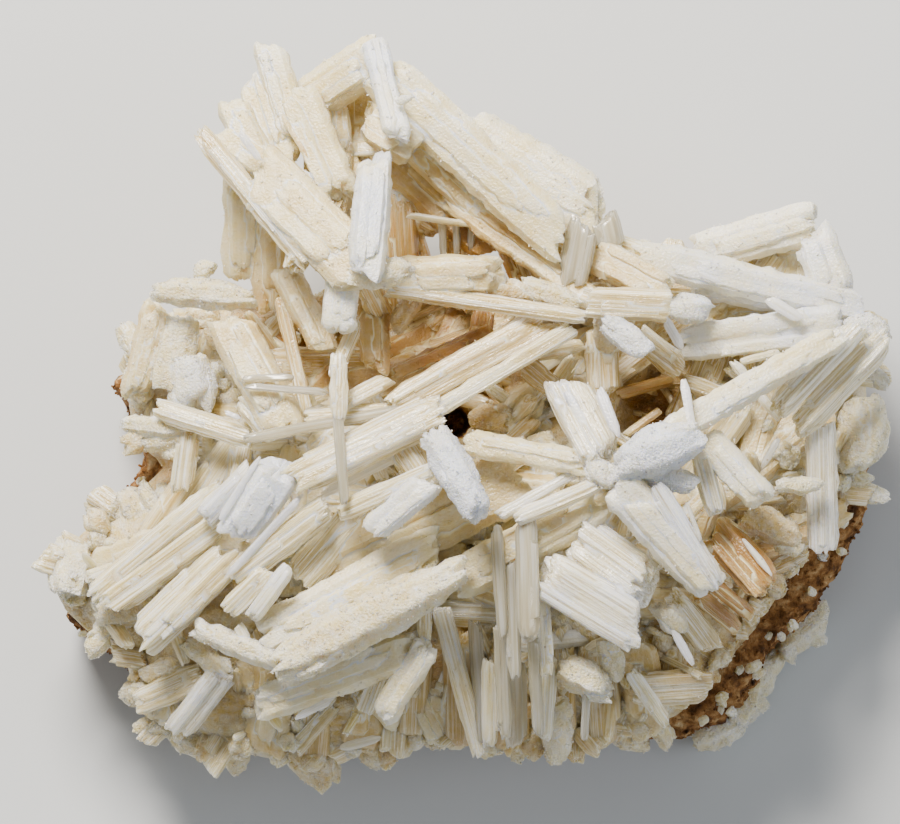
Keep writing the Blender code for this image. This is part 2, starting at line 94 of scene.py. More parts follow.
def toward(spot, heading, distance):
    """The sheet point at a distance from another, along a heading."""
    return spot[0] + math.cos(heading) * distance, spot[1] + math.sin(heading) * distance


def anywhere():
    """A random seat in the noise, so that no two crystals share a pattern."""
    return Vector((rng.uniform(0, 90), rng.uniform(0, 90), rng.uniform(0, 90)))


def linear(code):
    """Linear RGBA of an sRGB hex code."""
    parts = [int(code[k : k + 2], 16) / 255 for k in (1, 3, 5)]
    return (*[c / 12.92 if c <= 0.04045 else ((c + 0.055) / 1.055) ** 2.4 for c in parts], 1.0)


def feed(tree, node, values):
    """Set a node's inputs, or link them to the sockets given."""
    for key, value in values.items():
        if isinstance(value, bpy.types.NodeSocket):
            tree.links.new(value, node.inputs[key])
        else:
            node.inputs[key].default_value = value


def add(tree, kind, inputs=None, stops=(), **settings):
    """A node with its settings and colour stops made, and its inputs fed."""
    made = tree.nodes.new(kind)
    for key, value in settings.items():
        setattr(made, key, value)
    for k, (at, code) in enumerate(stops):
        bar = made.color_ramp.elements
        element = bar[k] if k < len(bar) else bar.new(at)
        element.position = at
        element.color = linear(code)
    feed(tree, made, inputs or {})
    return made


def settled(thing):
    """The mesh of an object with its modifiers worked out."""
    graph = bpy.context.evaluated_depsgraph_get()
    return bpy.data.meshes.new_from_object(thing.evaluated_get(graph))


def write(mesh, name, values):
    """Write one number to each point of a mesh, under a name that a material can read."""
    mesh.attributes.new(name, "FLOAT", "POINT").data.foreach_set("value", values)


# %% [markdown]
# ## The crystals
#
# One row per crystal: its two ends, its width, its habit and its tone, and for
# some a thickness. The habits are a ribbed bundle, a broad smooth blade with
# worn edges, a rounded sugary crystal, a plain prism, a clear prism and a thin
# lath. Tone runs from 0, a cold white, to 1, an ochre stained by iron; crystals
# that lie in shade are given deeper tones, which is painted shade.

# %% Crystal rows by region
BUNDLE, BLADE, FROST, PRISM, CLEAR, LATH = "bundle", "blade", "frost", "prism", "clear", "lath"

ARM = [
    ((25.5, 17.0, 28.0), (37.3, 28.3, 33.0), 6.6, BLADE, 0.36, 3.2),
    ((19.9, 13.2, 27.0), (31.0, 26.6, 31.0), 2.6, BUNDLE, 0.4),
    ((22.0, 13.5, 25.0), (31.0, 19.0, 27.0), 3.2, BLADE, 0.38),
    ((24.0, 13.3, 30.0), (26.2, 16.3, 30.5), 0.8, LATH, 0.0),
    ((28.2, 11.5, 26.6), (31.0, 16.0, 27.6), 0.7, LATH, 0.55),
    ((23.2, 10.3, 24.0), (26.5, 17.5, 26.0), 3.6, BLADE, 0.34),
    ((26.9, 4.6, 23.0), (29.5, 14.0, 25.0), 3.4, BLADE, 0.26),
    ((25.6, 7.4, 22.0), (28.6, 17.0, 24.5), 4.2, BLADE, 0.34),
    ((29.8, 9.4, 25.0), (34.4, 19.8, 27.0), 4.2, BLADE, 0.34),
    ((37.6, 15.6, 31.0), (36.6, 28.0, 35.5), 3.9, BLADE, 0.06, 3.6),
    ((35.0, 27.5, 34.0), (41.0, 27.2, 33.0), 3.4, FROST, 0.28),
    ((34.4, 27.0, 30.0), (33.8, 33.3, 30.5), 3.4, BLADE, 0.14),
    ((24.3, 16.0, 21.0), (24.4, 28.0, 17.0), 4.2, BLADE, 0.3),
    ((27.0, 20.0, 19.0), (27.5, 31.0, 18.0), 4.5, BLADE, 0.44),
    ((27.2, 26.0, 20.0), (27.2, 31.0, 19.0), 1.0, PRISM, 0.35),
    ((28.5, 27.0, 22.0), (32.5, 35.0, 24.0), 3.2, BLADE, 0.36),
    ((28.0, 29.5, 22.0), (30.8, 41.8, 24.0), 1.5, BUNDLE, 0.45),
    ((27.5, 13.0, 22.0), (27.0, 22.0, 18.0), 4.6, BUNDLE, 0.45),
    ((31.0, 19.0, 20.0), (29.8, 26.6, 31.0), 3.0, BUNDLE, 0.5),
    ((33.4, 14.6, 19.0), (36.2, 24.0, 21.0), 5.2, BLADE, 0.46, 3.2),
    ((31.4, 12.0, 20.0), (32.6, 20.0, 20.0), 3.4, BLADE, 0.44),
    ((36.0, 27.0, 31.0), (38.5, 32.0, 22.0), 3.0, BUNDLE, 0.5),
]
CROWN = [
    ((37.5, 4.2, 26.0), (39.8, 14.0, 31.0), 2.6, BLADE, 0.08),
    ((37.8, 6.9, 25.0), (56.3, 24.3, 27.0), 5.4, BLADE, 0.28, 3.0),
    ((45.6, 12.9, 20.0), (60.2, 21.6, 22.0), 6.6, BLADE, 0.24, 3.0),
    ((31.3, 9.9, 22.0), (38.0, 5.3, 25.0), 4.8, BLADE, 0.3),
    ((32.5, 8.2, 22.0), (33.5, 16.0, 20.5), 3.8, BLADE, 0.38),
    ((35.4, 7.0, 18.5), (35.2, 17.0, 18.0), 6.4, BLADE, 0.42, 3.0),
    ((32.5, 14.9, 19.0), (40.5, 14.5, 21.0), 2.0, PRISM, 0.3),
    ((40.5, 14.0, 22.0), (49.5, 22.5, 22.0), 3.2, BLADE, 0.42),
    ((41.0, 15.0, 20.0), (56.0, 26.0, 22.0), 2.5, BUNDLE, 0.53),
    ((44.5, 19.5, 21.0), (60.5, 31.0, 27.0), 3.0, BLADE, 0.46),
    ((49.0, 20.5, 22.0), (57.0, 26.0, 23.0), 2.4, BUNDLE, 0.53),
    ((39.7, 10.4, 31.0), (41.2, 9.6, 31.5), 1.0, FROST, 0.1),
    ((40.5, 21.5, 22.5), (47.0, 22.5, 22.5), 0.7, PRISM, 0.3),
    ((41.0, 20.5, 17.5), (42.9, 27.5, 18.0), 1.5, BUNDLE, 0.52),
    ((50.0, 24.0, 17.5), (52.4, 29.5, 18.0), 1.6, BUNDLE, 0.5),
    ((44.2, 21.5, 22.0), (44.4, 25.5, 20.0), 0.9, CLEAR, 0.4),
    ((45.6, 21.8, 22.0), (45.7, 25.5, 20.0), 0.8, CLEAR, 0.4),
    ((47.2, 22.0, 22.0), (47.1, 25.0, 20.0), 0.9, CLEAR, 0.4),
    ((58.3, 22.3, 26.0), (57.0, 29.0, 26.0), 3.2, CLEAR, 0.15),
    ((60.5, 21.8, 24.0), (61.2, 24.8, 24.0), 3.0, CLEAR, 0.1),
    ((59.5, 25.5, 24.0), (66.6, 29.3, 26.0), 4.0, BLADE, 0.44),
    ((36.8, 12.0, 24.0), (41.4, 15.0, 26.0), 4.4, BLADE, 0.42, 6.0),
    ((34.0, 14.5, 19.0), (33.2, 22.0, 27.0), 3.0, BUNDLE, 0.53),
    ((38.6, 14.8, 19.5), (49.8, 25.0, 19.0), 5.0, BLADE, 0.5, 3.2),
    ((38.2, 18.6, 18.0), (44.6, 22.6, 18.0), 4.4, BUNDLE, 0.52, 3.2),
    ((39.8, 19.0, 18.5), (40.4, 29.5, 18.5), 3.8, BUNDLE, 0.52),
    ((45.6, 22.6, 18.0), (46.0, 31.0, 18.5), 2.6, BUNDLE, 0.54),
    ((50.6, 20.5, 19.5), (54.2, 30.5, 19.5), 4.6, BUNDLE, 0.48),
    ((54.8, 22.5, 19.5), (56.6, 31.0, 19.5), 4.4, BUNDLE, 0.46),
    ((56.0, 20.0, 21.0), (61.5, 27.5, 20.0), 3.4, FROST, 0.38),
]
BAND = [
    ((38.5, 27.8, 27.0), (50.0, 27.4, 28.0), 4.0, BLADE, 0.38),
    ((48.0, 28.8, 27.0), (53.0, 29.3, 26.0), 2.5, FROST, 0.41),
    ((38.5, 28.8, 27.5), (58.8, 31.8, 29.5), 2.0, BUNDLE, 0.44),
    ((59.0, 30.2, 30.0), (67.0, 30.6, 30.0), 3.4, BUNDLE, 0.36),
    ((52.3, 28.6, 26.0), (58.0, 30.5, 27.0), 2.6, FROST, 0.31),
    ((58.0, 29.5, 27.0), (63.6, 31.6, 27.0), 2.2, BUNDLE, 0.41),
    ((60.5, 32.2, 30.0), (64.6, 35.4, 31.0), 3.2, FROST, 0.03),
    ((60.0, 33.0, 24.0), (60.3, 40.0, 24.0), 3.4, BUNDLE, 0.41),
    ((53.5, 35.5, 24.0), (58.4, 34.4, 25.0), 1.5, PRISM, 0.35),
    ((37.0, 29.6, 23.0), (37.6, 37.0, 25.0), 3.4, BLADE, 0.5),
    ((39.5, 33.0, 25.0), (41.8, 28.8, 26.0), 2.4, FROST, 0.56),
    ((35.7, 32.3, 27.0), (33.2, 38.0, 30.5), 1.7, BUNDLE, 0.41),
    ((60.5, 31.0, 30.0), (60.5, 36.5, 21.0), 3.0, FROST, 0.41),
]
CENTRE = [
    ((29.3, 48.2, 30.0), (44.5, 40.8, 31.0), 4.4, BUNDLE, 0.38),
    ((39.0, 40.8, 29.0), (55.0, 32.0, 27.0), 3.6, BUNDLE, 0.45),
    ((41.5, 42.3, 31.0), (57.2, 32.8, 28.0), 1.9, BUNDLE, 0.25),
    ((32.0, 49.6, 29.0), (41.2, 44.9, 29.5), 1.0, LATH, 0.15),
    ((40.0, 44.5, 29.0), (43.0, 49.0, 29.0), 3.5, BUNDLE, 0.35),
    ((30.5, 41.8, 27.0), (40.5, 41.2, 29.0), 2.4, BUNDLE, 0.32),
    ((24.2, 44.0, 29.0), (41.0, 40.8, 30.0), 1.2, CLEAR, 0.2),
    ((33.9, 35.5, 31.0), (33.8, 42.0, 32.0), 2.0, BUNDLE, 0.3),
    ((33.7, 40.0, 32.0), (34.5, 50.5, 32.0), 1.2, CLEAR, 0.25),
    ((34.6, 40.2, 29.0), (39.0, 37.9, 28.0), 1.8, PRISM, 0.4),
    ((37.5, 38.8, 22.0), (50.0, 33.5, 21.0), 3.0, BLADE, 0.5),
    ((48.5, 31.0, 20.0), (47.8, 35.0, 20.0), 2.5, BUNDLE, 0.7),
    ((22.8, 32.0, 24.0), (29.0, 43.5, 27.0), 4.8, BLADE, 0.36),
    ((24.0, 40.0, 25.0), (27.5, 44.0, 27.0), 2.2, BUNDLE, 0.35),
    ((24.5, 38.6, 28.5), (33.0, 39.3, 29.0), 0.8, CLEAR, 0.2),
    ((24.3, 37.9, 28.0), (29.5, 37.7, 28.5), 0.8, CLEAR, 0.2),
    ((33.0, 56.5, 23.0), (52.0, 47.5, 24.0), 7.0, BLADE, 0.42),
    ((30.0, 58.0, 25.0), (36.0, 51.0, 25.0), 4.0, BUNDLE, 0.38),
    ((46.0, 58.0, 26.0), (60.0, 50.5, 27.0), 4.6, BLADE, 0.36),
    ((37.2, 53.0, 31.0), (43.0, 48.2, 33.0), 3.0, BLADE, 0.08),
    ((33.8, 51.3, 30.0), (43.5, 47.0, 32.5), 2.4, BUNDLE, 0.3),
    ((43.2, 43.0, 32.0), (48.0, 51.5, 35.0), 4.2, FROST, 0.04),
    ((43.5, 46.5, 29.0), (44.2, 48.5, 30.0), 2.6, FROST, 0.3),
    ((46.5, 44.2, 28.0), (58.6, 46.4, 30.0), 2.8, BLADE, 0.32),
    ((49.8, 51.6, 30.0), (57.5, 47.2, 29.0), 1.3, BUNDLE, 0.15),
    ((51.3, 52.0, 30.5), (60.0, 48.3, 30.0), 2.0, BUNDLE, 0.2),
    ((56.5, 38.5, 27.0), (60.5, 46.0, 30.0), 4.6, BUNDLE, 0.16),
    ((59.8, 38.8, 29.0), (61.8, 43.8, 30.5), 1.2, LATH, 0.0),
    ((56.5, 39.0, 29.0), (59.5, 44.5, 30.5), 1.0, LATH, 0.05),
    ((58.5, 46.5, 30.0), (61.5, 48.0, 31.0), 2.8, FROST, 0.15),
    ((52.5, 36.5, 24.0), (55.5, 39.0, 24.0), 2.6, BUNDLE, 0.5),
    ((47.5, 42.0, 21.0), (51.0, 42.0, 22.0), 3.4, FROST, 0.45),
]
LEFT = [
    ((15.2, 29.0, 22.0), (25.4, 29.6, 24.0), 3.4, FROST, 0.3),
    ((19.4, 27.2, 22.5), (21.4, 27.0, 23.0), 2.0, FROST, 0.25),
    ((15.8, 30.5, 19.0), (13.4, 39.5, 18.0), 3.2, BLADE, 0.36),
    ((18.3, 31.8, 19.0), (16.6, 38.5, 19.0), 5.0, FROST, 0.22),
    ((18.8, 36.0, 20.0), (19.5, 41.0, 20.0), 5.5, FROST, 0.12),
    ((12.3, 32.5, 17.0), (14.3, 35.5, 18.0), 2.6, FROST, 0.3),
    ((12.6, 37.0, 17.0), (14.6, 40.0, 17.0), 3.0, FROST, 0.35),
    ((12.5, 42.3, 19.0), (19.0, 43.0, 21.0), 2.4, FROST, 0.2),
    ((15.5, 40.8, 21.0), (25.0, 43.8, 24.0), 2.6, BUNDLE, 0.3),
    ((22.5, 41.2, 25.2), (24.1, 41.8, 25.4), 0.6, LATH, 0.0),
    ((14.3, 44.5, 18.8), (18.5, 43.6, 20.0), 2.0, FROST, 0.3),
    ((16.5, 45.0, 18.8), (19.6, 46.0, 20.5), 2.0, FROST, 0.35),
    ((19.0, 43.2, 20.5), (18.2, 49.0, 20.0), 2.6, BUNDLE, 0.4),
    ((14.2, 48.3, 15.0), (16.8, 53.0, 15.0), 2.4, FROST, 0.3),
    ((12.5, 49.0, 13.0), (14.8, 53.0, 14.0), 4.5, FROST, 0.25),
    ((8.5, 51.0, 12.0), (13.5, 51.5, 13.5), 2.5, FROST, 0.3),
    ((7.5, 54.0, 14.0), (6.8, 59.5, 16.0), 5.0, FROST, 0.2),
    ((8.8, 59.9, 20.0), (22.5, 48.5, 25.0), 2.8, BUNDLE, 0.3),
    ((11.0, 60.6, 21.0), (22.0, 52.6, 24.5), 3.4, BUNDLE, 0.3),
    ((20.5, 51.9, 27.0), (25.3, 46.9, 28.5), 2.8, BUNDLE, 0.02),
    ((23.8, 53.2, 28.0), (28.2, 46.6, 29.5), 4.6, BLADE, 0.0),
    ((22.0, 52.0, 29.8), (26.1, 45.6, 30.8), 0.8, LATH, 0.0),
    ((14.2, 64.0, 22.0), (22.5, 56.0, 25.0), 4.6, BUNDLE, 0.3),
    ((16.8, 62.6, 24.0), (24.0, 55.5, 27.0), 2.6, BUNDLE, 0.3),
    ((23.5, 57.5, 27.0), (32.9, 50.5, 30.0), 3.4, BUNDLE, 0.34),
    ((22.6, 57.8, 28.6), (30.4, 49.4, 30.5), 0.9, LATH, 0.0),
    ((22.8, 61.2, 27.5), (27.0, 57.0, 29.0), 2.4, BUNDLE, 0.35),
    ((25.2, 61.8, 28.0), (29.0, 56.6, 30.0), 1.8, PRISM, 0.05),
    ((19.2, 62.6, 25.0), (28.0, 66.2, 27.5), 2.6, FROST, 0.28),
    ((23.8, 62.5, 26.5), (24.6, 64.0, 26.5), 1.4, PRISM, 0.2),
    ((18.5, 64.0, 19.0), (22.8, 67.5, 20.5), 2.6, FROST, 0.35),
    ((17.8, 73.0, 16.0), (22.3, 67.3, 21.0), 3.2, BUNDLE, 0.06),
    ((13.6, 70.5, 15.0), (20.5, 67.5, 18.0), 3.2, BUNDLE, 0.3),
    ((13.5, 72.6, 11.0), (17.0, 72.9, 12.0), 2.4, FROST, 0.25),
    ((14.3, 67.5, 14.5), (18.4, 66.5, 16.0), 2.6, FROST, 0.3),
    ((8.5, 58.5, 13.0), (16.0, 55.0, 17.0), 4.5, FROST, 0.3, 5.0),
    ((9.5, 61.0, 14.0), (16.0, 60.5, 18.0), 4.5, FROST, 0.3, 5.0),
]
RIGHT = [
    ((61.5, 46.4, 33.0), (69.5, 43.6, 33.0), 5.4, FROST, 0.03),
    ((66.0, 43.8, 32.0), (84.0, 33.5, 26.0), 3.0, BLADE, 0.2),
    ((68.2, 37.8, 32.0), (69.6, 45.3, 34.0), 0.9, LATH, 0.0),
    ((61.5, 48.2, 32.0), (71.2, 58.8, 29.0), 4.4, BLADE, 0.2),
    ((65.5, 48.5, 32.6), (71.8, 58.5, 30.4), 2.2, BUNDLE, 0.0),
    ((64.0, 47.0, 31.0), (69.5, 48.5, 31.0), 3.0, FROST, 0.09),
    ((68.6, 50.2, 32.5), (70.0, 54.0, 32.0), 0.5, PRISM, 0.2),
    ((69.8, 45.2, 30.0), (71.5, 51.5, 29.0), 2.4, BUNDLE, 0.24),
    ((66.4, 47.4, 31.5), (64.8, 50.8, 17.0), 3.2, BUNDLE, 0.24),
    ((70.3, 43.5, 29.0), (76.3, 50.2, 29.0), 3.3, BLADE, 0.22),
    ((77.5, 48.5, 25.0), (82.1, 48.5, 23.0), 2.0, FROST, 0.24),
    ((74.6, 51.5, 24.0), (79.5, 54.0, 22.0), 4.0, FROST, 0.42),
    ((71.8, 53.2, 24.0), (76.8, 59.0, 25.0), 4.6, BUNDLE, 0.74),
    ((74.2, 53.8, 26.2), (77.2, 57.6, 26.4), 0.7, LATH, 0.14),
    ((82.0, 42.5, 21.0), (82.3, 55.0, 19.0), 3.4, BUNDLE, 0.04),
    ((86.5, 40.0, 15.0), (86.0, 47.0, 16.0), 6.0, FROST, 0.24),
    ((83.8, 35.0, 14.0), (89.0, 38.5, 14.0), 2.8, FROST, 0.1),
    ((84.5, 48.3, 13.5), (88.5, 50.0, 13.0), 2.4, FROST, 0.1),
    ((77.5, 41.0, 26.0), (85.6, 32.5, 24.0), 3.0, BUNDLE, 0.19),
    ((79.5, 43.0, 23.0), (88.8, 33.5, 21.0), 3.4, BUNDLE, 0.22),
    ((84.5, 32.5, 21.5), (88.8, 32.9, 20.0), 3.0, FROST, 0.12),
    ((63.6, 25.6, 22.5), (85.8, 30.6, 20.0), 3.8, BLADE, 0.03),
    ((69.5, 28.3, 19.0), (78.0, 30.0, 19.0), 3.0, BLADE, 0.1),
    ((67.5, 34.5, 22.0), (84.5, 32.2, 21.0), 4.0, BLADE, 0.07),
    ((76.7, 29.9, 24.0), (80.1, 32.0, 24.0), 1.2, LATH, 0.0),
    ((69.8, 27.3, 24.0), (72.0, 28.3, 24.0), 0.6, LATH, 0.0),
    ((73.2, 36.0, 24.0), (78.0, 42.0, 24.0), 1.1, BUNDLE, 0.14),
    ((74.0, 36.2, 24.0), (78.0, 35.2, 24.0), 0.8, PRISM, 0.3),
    ((77.8, 43.8, 25.0), (76.1, 46.8, 25.0), 0.8, LATH, 0.1),
    ((68.3, 38.0, 21.0), (73.0, 39.8, 21.5), 2.0, BUNDLE, 0.34),
    ((69.6, 25.4, 15.5), (81.7, 22.0, 18.0), 4.6, BLADE, 0.14),
    ((81.3, 23.6, 19.5), (83.6, 29.6, 20.0), 4.4, BLADE, 0.02),
    ((61.0, 24.3, 22.0), (66.0, 26.0, 22.0), 2.6, PRISM, 0.2),
    ((67.2, 31.0, 25.0), (70.5, 31.0, 24.0), 3.4, FROST, 0.14, 4.0),
    ((66.4, 31.8, 28.0), (68.2, 34.9, 27.0), 1.0, LATH, 0.0),
    ((63.5, 33.5, 24.0), (68.0, 37.0, 23.0), 3.0, BUNDLE, 0.39),
    ((62.5, 43.5, 24.0), (66.0, 41.0, 24.0), 0.9, PRISM, 0.5),
]
BOTTOM = [
    ((27.0, 67.0, 28.0), (46.8, 56.6, 30.0), 5.6, FROST, 0.3),
    ((26.0, 63.8, 26.0), (44.0, 54.5, 26.0), 4.6, BLADE, 0.3),
    ((44.0, 60.5, 24.0), (48.0, 75.4, 17.0), 2.2, BUNDLE, 0.15),
    ((42.8, 64.4, 26.0), (38.1, 71.9, 24.0), 2.8, BLADE, 0.22),
    ((42.5, 60.8, 25.0), (42.5, 64.0, 25.0), 1.6, BUNDLE, 0.35),
    ((25.5, 70.7, 22.0), (42.0, 64.6, 25.0), 4.0, BLADE, 0.24),
    ((29.5, 71.8, 24.4), (33.5, 69.8, 24.8), 0.8, LATH, 0.0),
    ((36.5, 71.0, 21.0), (38.0, 67.0, 23.0), 2.0, BUNDLE, 0.25),
    ((33.8, 74.9, 16.0), (38.2, 73.8, 17.0), 1.0, LATH, 0.1),
    ((29.0, 72.0, 12.0), (32.5, 78.5, 10.0), 5.0, FROST, 0.25),
    ((24.0, 72.5, 12.0), (23.0, 77.0, 10.0), 3.3, FROST, 0.3),
    ((16.0, 72.0, 12.0), (22.0, 75.3, 11.0), 4.0, FROST, 0.25),
    ((36.3, 73.0, 12.0), (37.3, 77.0, 10.0), 2.8, FROST, 0.25),
    ((47.5, 62.0, 22.0), (48.3, 74.5, 18.0), 1.6, CLEAR, 0.2),
    ((49.6, 52.5, 29.0), (50.3, 63.8, 28.0), 1.4, CLEAR, 0.2),
    ((50.0, 62.0, 27.0), (50.5, 74.0, 23.0), 1.6, CLEAR, 0.2),
    ((51.0, 56.0, 28.0), (51.4, 67.8, 27.0), 1.6, CLEAR, 0.2),
    ((52.6, 51.8, 29.5), (52.9, 64.0, 30.0), 2.5, CLEAR, 0.24),
    ((53.3, 63.5, 28.0), (53.8, 73.5, 23.0), 1.4, CLEAR, 0.2),
    ((54.0, 59.0, 27.0), (54.6, 67.5, 26.0), 1.8, BUNDLE, 0.25),
    ((51.5, 66.0, 25.0), (51.6, 74.5, 19.0), 2.3, CLEAR, 0.2),
    ((49.0, 66.0, 22.0), (49.0, 74.8, 18.0), 1.8, PRISM, 0.2),
    ((55.0, 66.0, 24.0), (54.5, 74.0, 20.0), 1.8, PRISM, 0.2),
    ((58.7, 68.0, 24.0), (58.4, 74.2, 21.0), 0.9, CLEAR, 0.2),
    ((55.8, 70.0, 20.0), (55.8, 76.2, 17.0), 3.3, FROST, 0.25),
    ((54.5, 57.0, 29.0), (64.0, 62.8, 28.0), 5.2, BUNDLE, 0.12),
    ((57.5, 53.5, 27.0), (64.8, 58.8, 28.0), 5.6, BUNDLE, 0.15),
    ((60.5, 61.8, 29.0), (63.5, 64.0, 29.0), 0.8, LATH, 0.0),
    ((56.0, 66.5, 23.0), (61.0, 69.0, 23.0), 4.0, FROST, 0.3, 5.0),
    ((60.5, 64.0, 24.0), (62.0, 67.5, 23.0), 2.6, FROST, 0.3),
    ((66.0, 60.5, 24.0), (68.2, 63.0, 23.0), 3.0, FROST, 0.25),
    ((63.0, 67.0, 24.0), (66.8, 72.6, 20.0), 1.7, BUNDLE, 0.2),
    ((67.3, 63.0, 25.0), (69.3, 66.5, 24.0), 0.9, LATH, 0.0),
    ((67.2, 59.8, 22.0), (71.2, 65.0, 18.5), 3.0, BUNDLE, 0.25),
    ((63.5, 69.0, 20.0), (71.0, 68.6, 17.0), 4.0, BUNDLE, 0.4),
    ((69.8, 59.5, 21.2), (74.0, 63.0, 18.8), 1.8, BUNDLE, 0.62),
    ((70.8, 58.0, 23.0), (75.0, 61.5, 21.0), 1.8, BUNDLE, 0.68),
    ((61.0, 73.2, 12.0), (65.0, 74.6, 10.0), 2.6, FROST, 0.3),
    ((65.0, 71.5, 13.0), (67.0, 74.5, 10.0), 2.6, FROST, 0.3),
    ((41.0, 72.5, 12.0), (45.0, 74.5, 10.0), 2.6, FROST, 0.25),
    ((50.5, 72.5, 12.0), (52.0, 76.0, 10.0), 2.6, FROST, 0.25),
]
# The roots of the lower crystals, side by side, in a deeper tone that is painted shade.
LOWER_WALL = [
    ((27.5, 65.0, 18.5), (26.5, 75.0, 13.5), 4.6, BLADE, 0.4),
    ((32.0, 65.5, 18.5), (31.0, 76.0, 13.0), 4.8, PRISM, 0.42),
    ((37.0, 66.0, 18.5), (36.0, 74.2, 13.5), 5.0, BLADE, 0.44),
    ((41.5, 64.5, 19.0), (41.0, 73.8, 13.5), 4.6, PRISM, 0.42),
    ((46.0, 63.5, 19.5), (46.0, 74.2, 13.5), 4.8, PRISM, 0.46),
    ((50.6, 63.0, 19.5), (50.8, 75.0, 13.5), 4.8, BLADE, 0.44),
    ((55.2, 62.5, 19.5), (55.6, 74.8, 13.5), 4.6, PRISM, 0.44),
    ((59.5, 64.0, 19.0), (60.2, 74.0, 13.5), 4.4, PRISM, 0.42),
    ((63.5, 64.0, 19.0), (64.8, 73.0, 13.5), 4.2, BLADE, 0.42),
]
REGIONS = {
    "crystals_upper_left": ARM,
    "crystals_top": CROWN + BAND,
    "crystals_centre": CENTRE,
    "crystals_left": LEFT,
    "crystals_right": RIGHT,
    "crystals_bottom": BOTTOM + LOWER_WALL,
}
print({name: len(rows) for name, rows in REGIONS.items()})

# %% [markdown]
# ## From rows to meshes
#
# A cerussite prism is solid, with broad satin faces and shallow flutes along
# them. A plank here is one such prism: a flattened section whose sides are cut
# in narrow strips at slightly different levels, swept along the crystal. Strips
# may end early, edges are a little ragged and the ends are broken across.

# %% The section of a plank
# Distance between two points round a plank's side, at least and over its thickness.
FLUTE_PITCH = 0.32
PITCH_SHARE = 0.15
# Bevel from which a section is a plain hexagon.
HEXAGON_FROM = 0.4
# Points that share a strip, the share of strips that stop early, and where they stop.
STRIP_POINTS = (1, 1, 1, 2, 2, 3)
EARLY_STOPS = 0.2
EARLY_SPAN = (0.35, 0.95)
# Past the end, for a strip that runs all the way.
NEVER = 2.0
# Strips fall short of an end by this share of the length at most, and mostly by less.
SHORT_MOST = 0.09
SHORT_RATE = 32.0


def section_corners(width, thickness, bevel):
    """Anticlockwise corners of a flattened section, each a little off."""
    w, t = width / 2, thickness / 2
    if bevel > HEXAGON_FROM:
        ideal = [(w, 0), (w * 0.5, t), (-w * 0.5, t), (-w, 0), (-w * 0.5, -t), (w * 0.5, -t)]
    else:
        inner, low = w * (1 - bevel), t * 0.45
        ideal = [(w, -low), (w, low), (inner, t), (-inner, t)]
        ideal += [(-w, low), (-w, -low), (-inner, -t), (inner, -t)]
    return [(u * rng.uniform(0.93, 1.03), v * rng.uniform(0.9, 1.04)) for u, v in ideal]


def section_points(corners, pitch):
    """Points round a section with the way out of the side at each."""
    points = []
    for (au, av), (bu, bv) in zip(corners, corners[1:] + corners[:1]):
        side = math.hypot(bu - au, bv - av)
        steps = max(1, round(side / pitch))
        out = ((bv - av) / side, (au - bu) / side)
        points += [(au + (bu - au) * k / steps, av + (bv - av) * k / steps, *out) for k in range(steps)]
    return points


def strips_round(count, flute, length):
    """For each point of a section its strip: its level, its early stop, and how far it falls short."""
    strips = []
    while len(strips) < count:
        level = rng.uniform(-1.0, 0.3) * flute
        stop = rng.uniform(*EARLY_SPAN) if rng.random() < EARLY_STOPS else NEVER
        back = min(rng.expovariate(SHORT_RATE), SHORT_MOST) * length
        fore = min(rng.expovariate(SHORT_RATE), SHORT_MOST) * length
        strips += [(level, stop, back, fore)] * rng.choice(STRIP_POINTS)
    return strips[:count]


# %% One plank
# Distance between two rings along a plank, and the fewest and the most of them.
RING_PITCH = 1.15
FEWEST_RINGS = 5
MOST_RINGS = 45
# Share of the length between an end and the ring next to it, and the size of the end ring.
END_STEP = 0.02
END_SIZE = 0.94
# Part of the length near each end over which strips end at their own places.
END_ZONE = 0.14
# How far an end leans along the plank, per millimetre across it.
END_LEAN = 0.5
# A plank swells by this share, in noise with so many cells to a millimetre.
SWELL = 0.1
SWELL_CELLS = 0.22
# Cells to a millimetre of its ragged edges, across and along, and of its large and small lumps.
TOOTH_CELLS = (0.3, 1.1)
LUMP_CELLS = (0.8, 2.3)
# Size of the inner ring that closes an end, and how deep the dents there are over the thickness.
INNER_RING = 0.6
DENT = 0.12


def close_end(corners, faces, ring, count, outward, dent):
    """Close a plank's end over an inner ring and a point, at uneven depths."""
    edge = corners[ring : ring + count]
    middle = [sum(c[a] for c in edge) / count for a in range(3)]
    base = len(corners)
    for c in edge:
        sunk = middle[2] * 0.5 + c[2] * 0.5 + rng.uniform(-dent, dent)
        corners.append((*[middle[a] + (c[a] - middle[a]) * INNER_RING for a in (0, 1)], sunk))
    corners.append((middle[0], middle[1], middle[2] + rng.uniform(-dent, dent)))
    for k in range(count):
        nxt = (k + 1) % count
        quad = (ring + k, ring + nxt, base + nxt, base + k)
        fan = (base + k, base + nxt, base + count)
        faces += [quad, fan] if outward else [quad[::-1], fan[::-1]]


